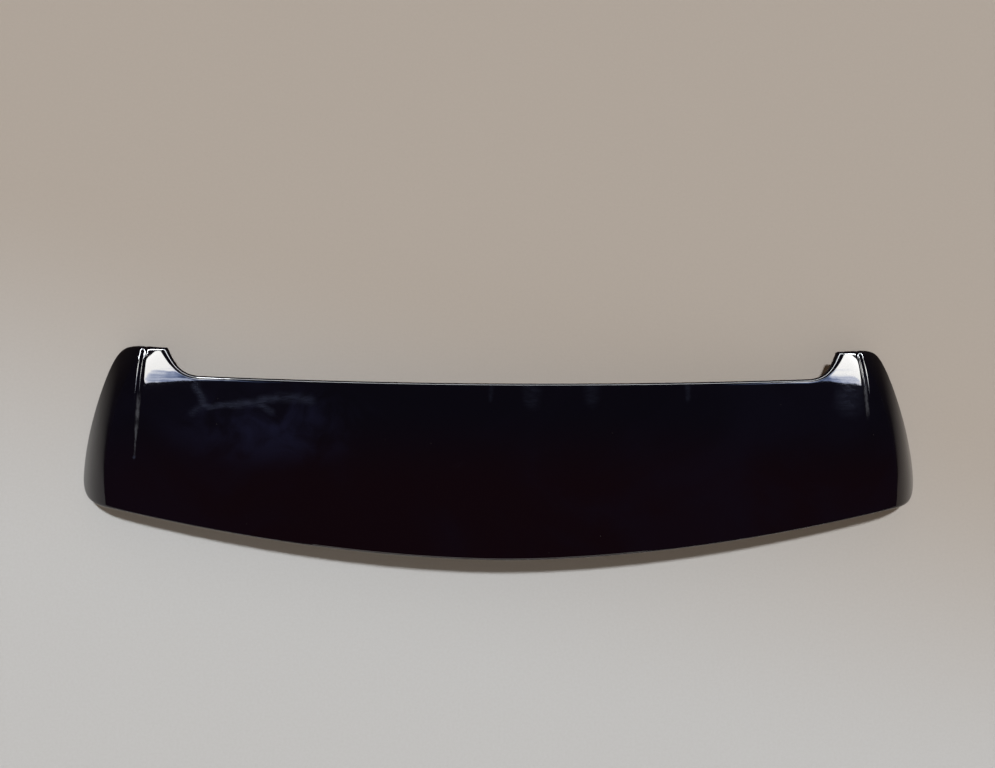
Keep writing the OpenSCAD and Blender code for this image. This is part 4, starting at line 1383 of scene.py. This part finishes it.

# %% [markdown]
# ## Floor
#
# A sheet of pale board lies under the part, neutral near the trailing edge and warmer and
# darker towards the front: partly the board's own tone and partly painted shade ahead of
# the leading edge. It takes the soft shadow, and the side walls mirror it, which is all
# that makes them visible. In the paint the board has to end where the dark room begins, so
# glossy rays see it dim towards the front. That needs no second floor, only the Light Path
# node. The board itself mirrors nothing, or it would show the lamps of the paint.

# %% Floor
FLOOR_HALF = 6000
NEUTRAL_BOARD, WARM_SHADED_BOARD = (0.535, 0.548, 0.560), (0.425, 0.385, 0.348)
WEAVE_TINT, DIM_BOARD = (0.30, 0.28, 0.25), (0.030, 0.024, 0.022)
WARMER_WAY = 0.25, 1.0, 0.0
corners = [(x * FLOOR_HALF, y * FLOOR_HALF, 0) for x, y in ((-1, -1), (1, -1), (1, 1), (-1, 1))]
floor = make_object("floor", corners, [(0, 1, 2, 3)])
floor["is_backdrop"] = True
board, tree, shader, where = start_material("pale_board")
weave = noise(tree, where, 260.0, 3.0, 0.7)
# darker and warmer towards the front: partly the board's tone, partly painted shade ahead of the
# leading edge
shade = blend(tree, eased(tree, product(tree, where, WARMER_WAY), -0.35, 0.25),
              NEUTRAL_BOARD, WARM_SHADED_BOARD)
shade = blend(tree, eased(tree, weave, 0.3, 0.7, 0.0, 0.08), shade, WEAVE_TINT)
towards_front = add(tree, "SeparateXYZ", {"Vector": where}).outputs[1]
dim = maths(tree, "MULTIPLY", eased(tree, towards_front, -0.02, 0.17),
            add(tree, "LightPath").outputs["Is Glossy Ray"])
shade = blend(tree, dim, shade, DIM_BOARD)
feed(tree, shader, Base_Color=shade, Roughness=0.9, IOR=1.0,
     Normal=bump(tree, weave, 0.0002))
floor.data.materials.append(board)
print("floor:", 2 * FLOOR_HALF * MM, "m wide, under the part's lowest point")

# %% [markdown]
# ## World
#
# Matt things are lit by the world and by soft lamps, at a level at which a colour looks
# about as it is written. Paint needs something else: dark surroundings, so that it stays
# black, and a few bright boxes to mirror. So the world has three colours, one for the
# light it gives, one for what is mirrored in it, and one for the camera's background.

# %% World
SKY_LIGHT, DARK_ROOM, BACKDROP = (0.185, 0.130, 0.085), (0.026, 0.021, 0.029), (0.56, 0.545, 0.52)
scene = bpy.context.scene
world = bpy.data.worlds.new("studio")
scene.world = world
world.use_nodes = True
tree = world.node_tree
path = add(tree, "LightPath").outputs
seen = tree.nodes["Background"]
ambient = blend(tree, path["Is Glossy Ray"], SKY_LIGHT, DARK_ROOM)
tree.links.new(blend(tree, path["Is Camera Ray"], ambient, BACKDROP), seen.inputs["Color"])
print("world:", world.name)

# %% [markdown]
# ## Lamps for the paint
#
# A photographer lights gloss black by what it mirrors, and flags each lamp so that it
# leaves no second shadow. Here the boxes are seen by glossy rays only. Two stand where the
# horns look, and fade like a curtained window. Three low strips draw the line along the
# front edge, which is white near the horns and grey between them, and one weak box behind
# outlines the trailing lip.

# %% Lamps that only the paint sees
WHITE, BLUE = (1.0, 1.0, 1.0), (0.20, 0.40, 1.0)
FADE_START, FADE_WIDTH, SMOKE = 1.02, 0.42, 0.9


def box_lamp(name, aim, azimuth, elevation, distance, width, height, radiance, tint):
    """A rectangular lamp seen from aim at that azimuth (from forwards towards the right)
    and elevation, in degrees. Its power is pi times its area times its radiance."""
    lamp = bpy.data.lights.new(name, "AREA")
    lamp.shape, lamp.size, lamp.size_y = "RECTANGLE", width, height
    lamp.energy, lamp.color = math.pi * width * height * radiance, tint
    thing = bpy.data.objects.new(name, lamp)
    scene.collection.objects.link(thing)
    a, e = math.radians(azimuth), math.radians(elevation)
    way = Vector((math.sin(a) * math.cos(e), math.cos(a) * math.cos(e), math.sin(e)))
    thing.location = Vector(aim) + way * distance
    thing.rotation_mode = "QUATERNION"
    thing.rotation_quaternion = way.to_track_quat("Z", "Y")
    thing.visible_camera = False
    return thing


def mirrored_only(thing, lean=0.0):
    """Let only glossy rays see the lamp. With a lean, its upper part dims smokily into
    blue, like a curtained window: a smooth step of the share up its height, less lean times
    the share along its width, plus noise. Each share is the product of (place - centre)
    with that side's direction over its length."""
    thing.visible_diffuse = thing.visible_transmission = False
    if lean:
        thing.data.use_nodes = True
        tree = thing.data.node_tree
        place = add(tree, "NewGeometry").outputs["Position"]
        away = vectors(tree, "SUBTRACT", place, tuple(thing.location))
        turn = thing.rotation_quaternion
        shares = [product(tree, away, turn @ side_share) for side_share in
                  (Vector((-lean / thing.data.size, 0, 0)), Vector((0, 1 / thing.data.size_y, 0)))]
        smoke = maths(tree, "MULTIPLY", noise(tree, place, 4.0, 5.0, 0.6, 0.6), SMOKE)
        level = maths(tree, "ADD", maths(tree, "ADD", *shares), smoke)
        level = eased(tree, level, FADE_START, FADE_START - FADE_WIDTH)
        shine = tree.nodes["Emission"]
        tree.links.new(blend(tree, level, BLUE, WHITE), shine.inputs["Color"])
        tree.links.new(level, shine.inputs["Strength"])


HORN_AT, HORN_AWAY, HORN_HIGH, HORN_RADIANCE = (0.50, 0.125, 0.085), 1.6, 1.2, 27
for side, azimuth, elevation, width, lean in ((-1, -30, 42.5, 0.60, 0.35),
                                              (1, 37, 35, 0.74, -0.40)):
    horn = (side * HORN_AT[0], *HORN_AT[1:])
    mirrored_only(box_lamp("horn_box", horn, azimuth, elevation, HORN_AWAY, width, HORN_HIGH,
                           HORN_RADIANCE, (1.0, 0.99, 0.97)), lean)
EDGE_ELEVATION, EDGE_AWAY, EDGE_HIGH = 6, 1.95, 0.22
for name, x, width, radiance in (("left_edge_strip", -1.58, 1.64, 120),
                                 ("middle_edge_strip", 0.26, 2.04, 26),
                                 ("right_edge_strip", 1.66, 0.76, 120)):
    mirrored_only(box_lamp(name, (x, 0.1, 0.1), 0, EDGE_ELEVATION, EDGE_AWAY, width, EDGE_HIGH,
                           radiance, (0.93, 0.96, 1.0)))
mirrored_only(box_lamp("rear_box", (0, -0.1, 0.1), 180, 24, 2.0, 1.6, 0.5, 5, (1, 0.95, 0.9)))

# %% [markdown]
# ## Lamps for everything else
#
# These are sun lamps, given by the width of the sky that they fill. The one overhead is
# narrow and gives the shadow under the edges, the one behind is wide and lifts it, and the
# one under the floor reaches the underside only when the floor is taken away. Glossy rays
# don't see them. A sun's place has no effect; it only keeps them apart in the viewport.

# %% Soft lamps
for name, level, width, tilt, tint in (("overhead", 2.42, 3.2, -7, (0.97, 0.99, 1.0)),
                                       ("rear_softbox", 0.38, 60, 42, (1.0, 0.96, 0.90)),
                                       ("under_floor", 1.6, 90, 160, (1.0, 0.99, 0.97))):
    lamp = bpy.data.objects.new(name, bpy.data.lights.new(name, "SUN"))
    lamp.data.energy, lamp.data.angle, lamp.data.color = level, math.radians(width), tint
    lamp.rotation_euler = (math.radians(tilt), 0, 0)
    lamp.location = (0, -tilt / 20, 2.5 if tilt < 90 else -2.5)
    lamp.visible_glossy = False
    scene.collection.objects.link(lamp)

# %% [markdown]
# ## Camera
#
# The photograph was taken from almost straight above, a little behind the trailing edge
# and to the left. Position, aim, roll and focal length were fitted to the outline of the
# part. The focal length is kept in pixels of the photograph, and turned into millimetres
# of a sensor here. The nearly upright view makes a Track To constraint unsteady, so the
# three directions of the camera are worked out with cross products.

# %% Camera
SENSOR_MM, FOCAL_PIXELS, PHOTO_WIDTH, ROLL_DEGREES = 36, 1418.1, 995, -0.25
camera = bpy.data.objects.new("photo_camera", bpy.data.cameras.new("photo_camera"))
scene.collection.objects.link(camera)
position, target = Vector((-0.1211, -0.2649, 2.0781)), Vector((-0.0145, 0.0942, 0.090))
forward = (target - position).normalized()
right = forward.cross(Vector((0, 1, 0))).normalized()
up = right.cross(forward)
roll = math.radians(ROLL_DEGREES)
side_way = right * math.cos(roll) + up * math.sin(roll)
up_way = up * math.cos(roll) - right * math.sin(roll)
pose = Matrix((side_way, up_way, -forward)).transposed().to_4x4()
pose.translation = position
camera.matrix_world = pose
camera.data.sensor_width = SENSOR_MM
camera.data.lens = SENSOR_MM * FOCAL_PIXELS / PHOTO_WIDTH
camera.data.dof.use_dof = False
scene.camera = camera
scene.view_settings.view_transform = "Standard"
print("camera looks down at", round(math.degrees(math.asin(-forward.z)), 1), "degrees")

# %% [markdown]
# ## Sizes and finish
#
# The box round the visible pieces is measured once more. It has to be the box that the
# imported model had, or the fine pieces would have changed the size of the part.

# %% Sizes and finish
low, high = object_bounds()
print("box grew by", [round((b - a) / MM, 3) for a, b in zip(cad_high, high)], "mm")
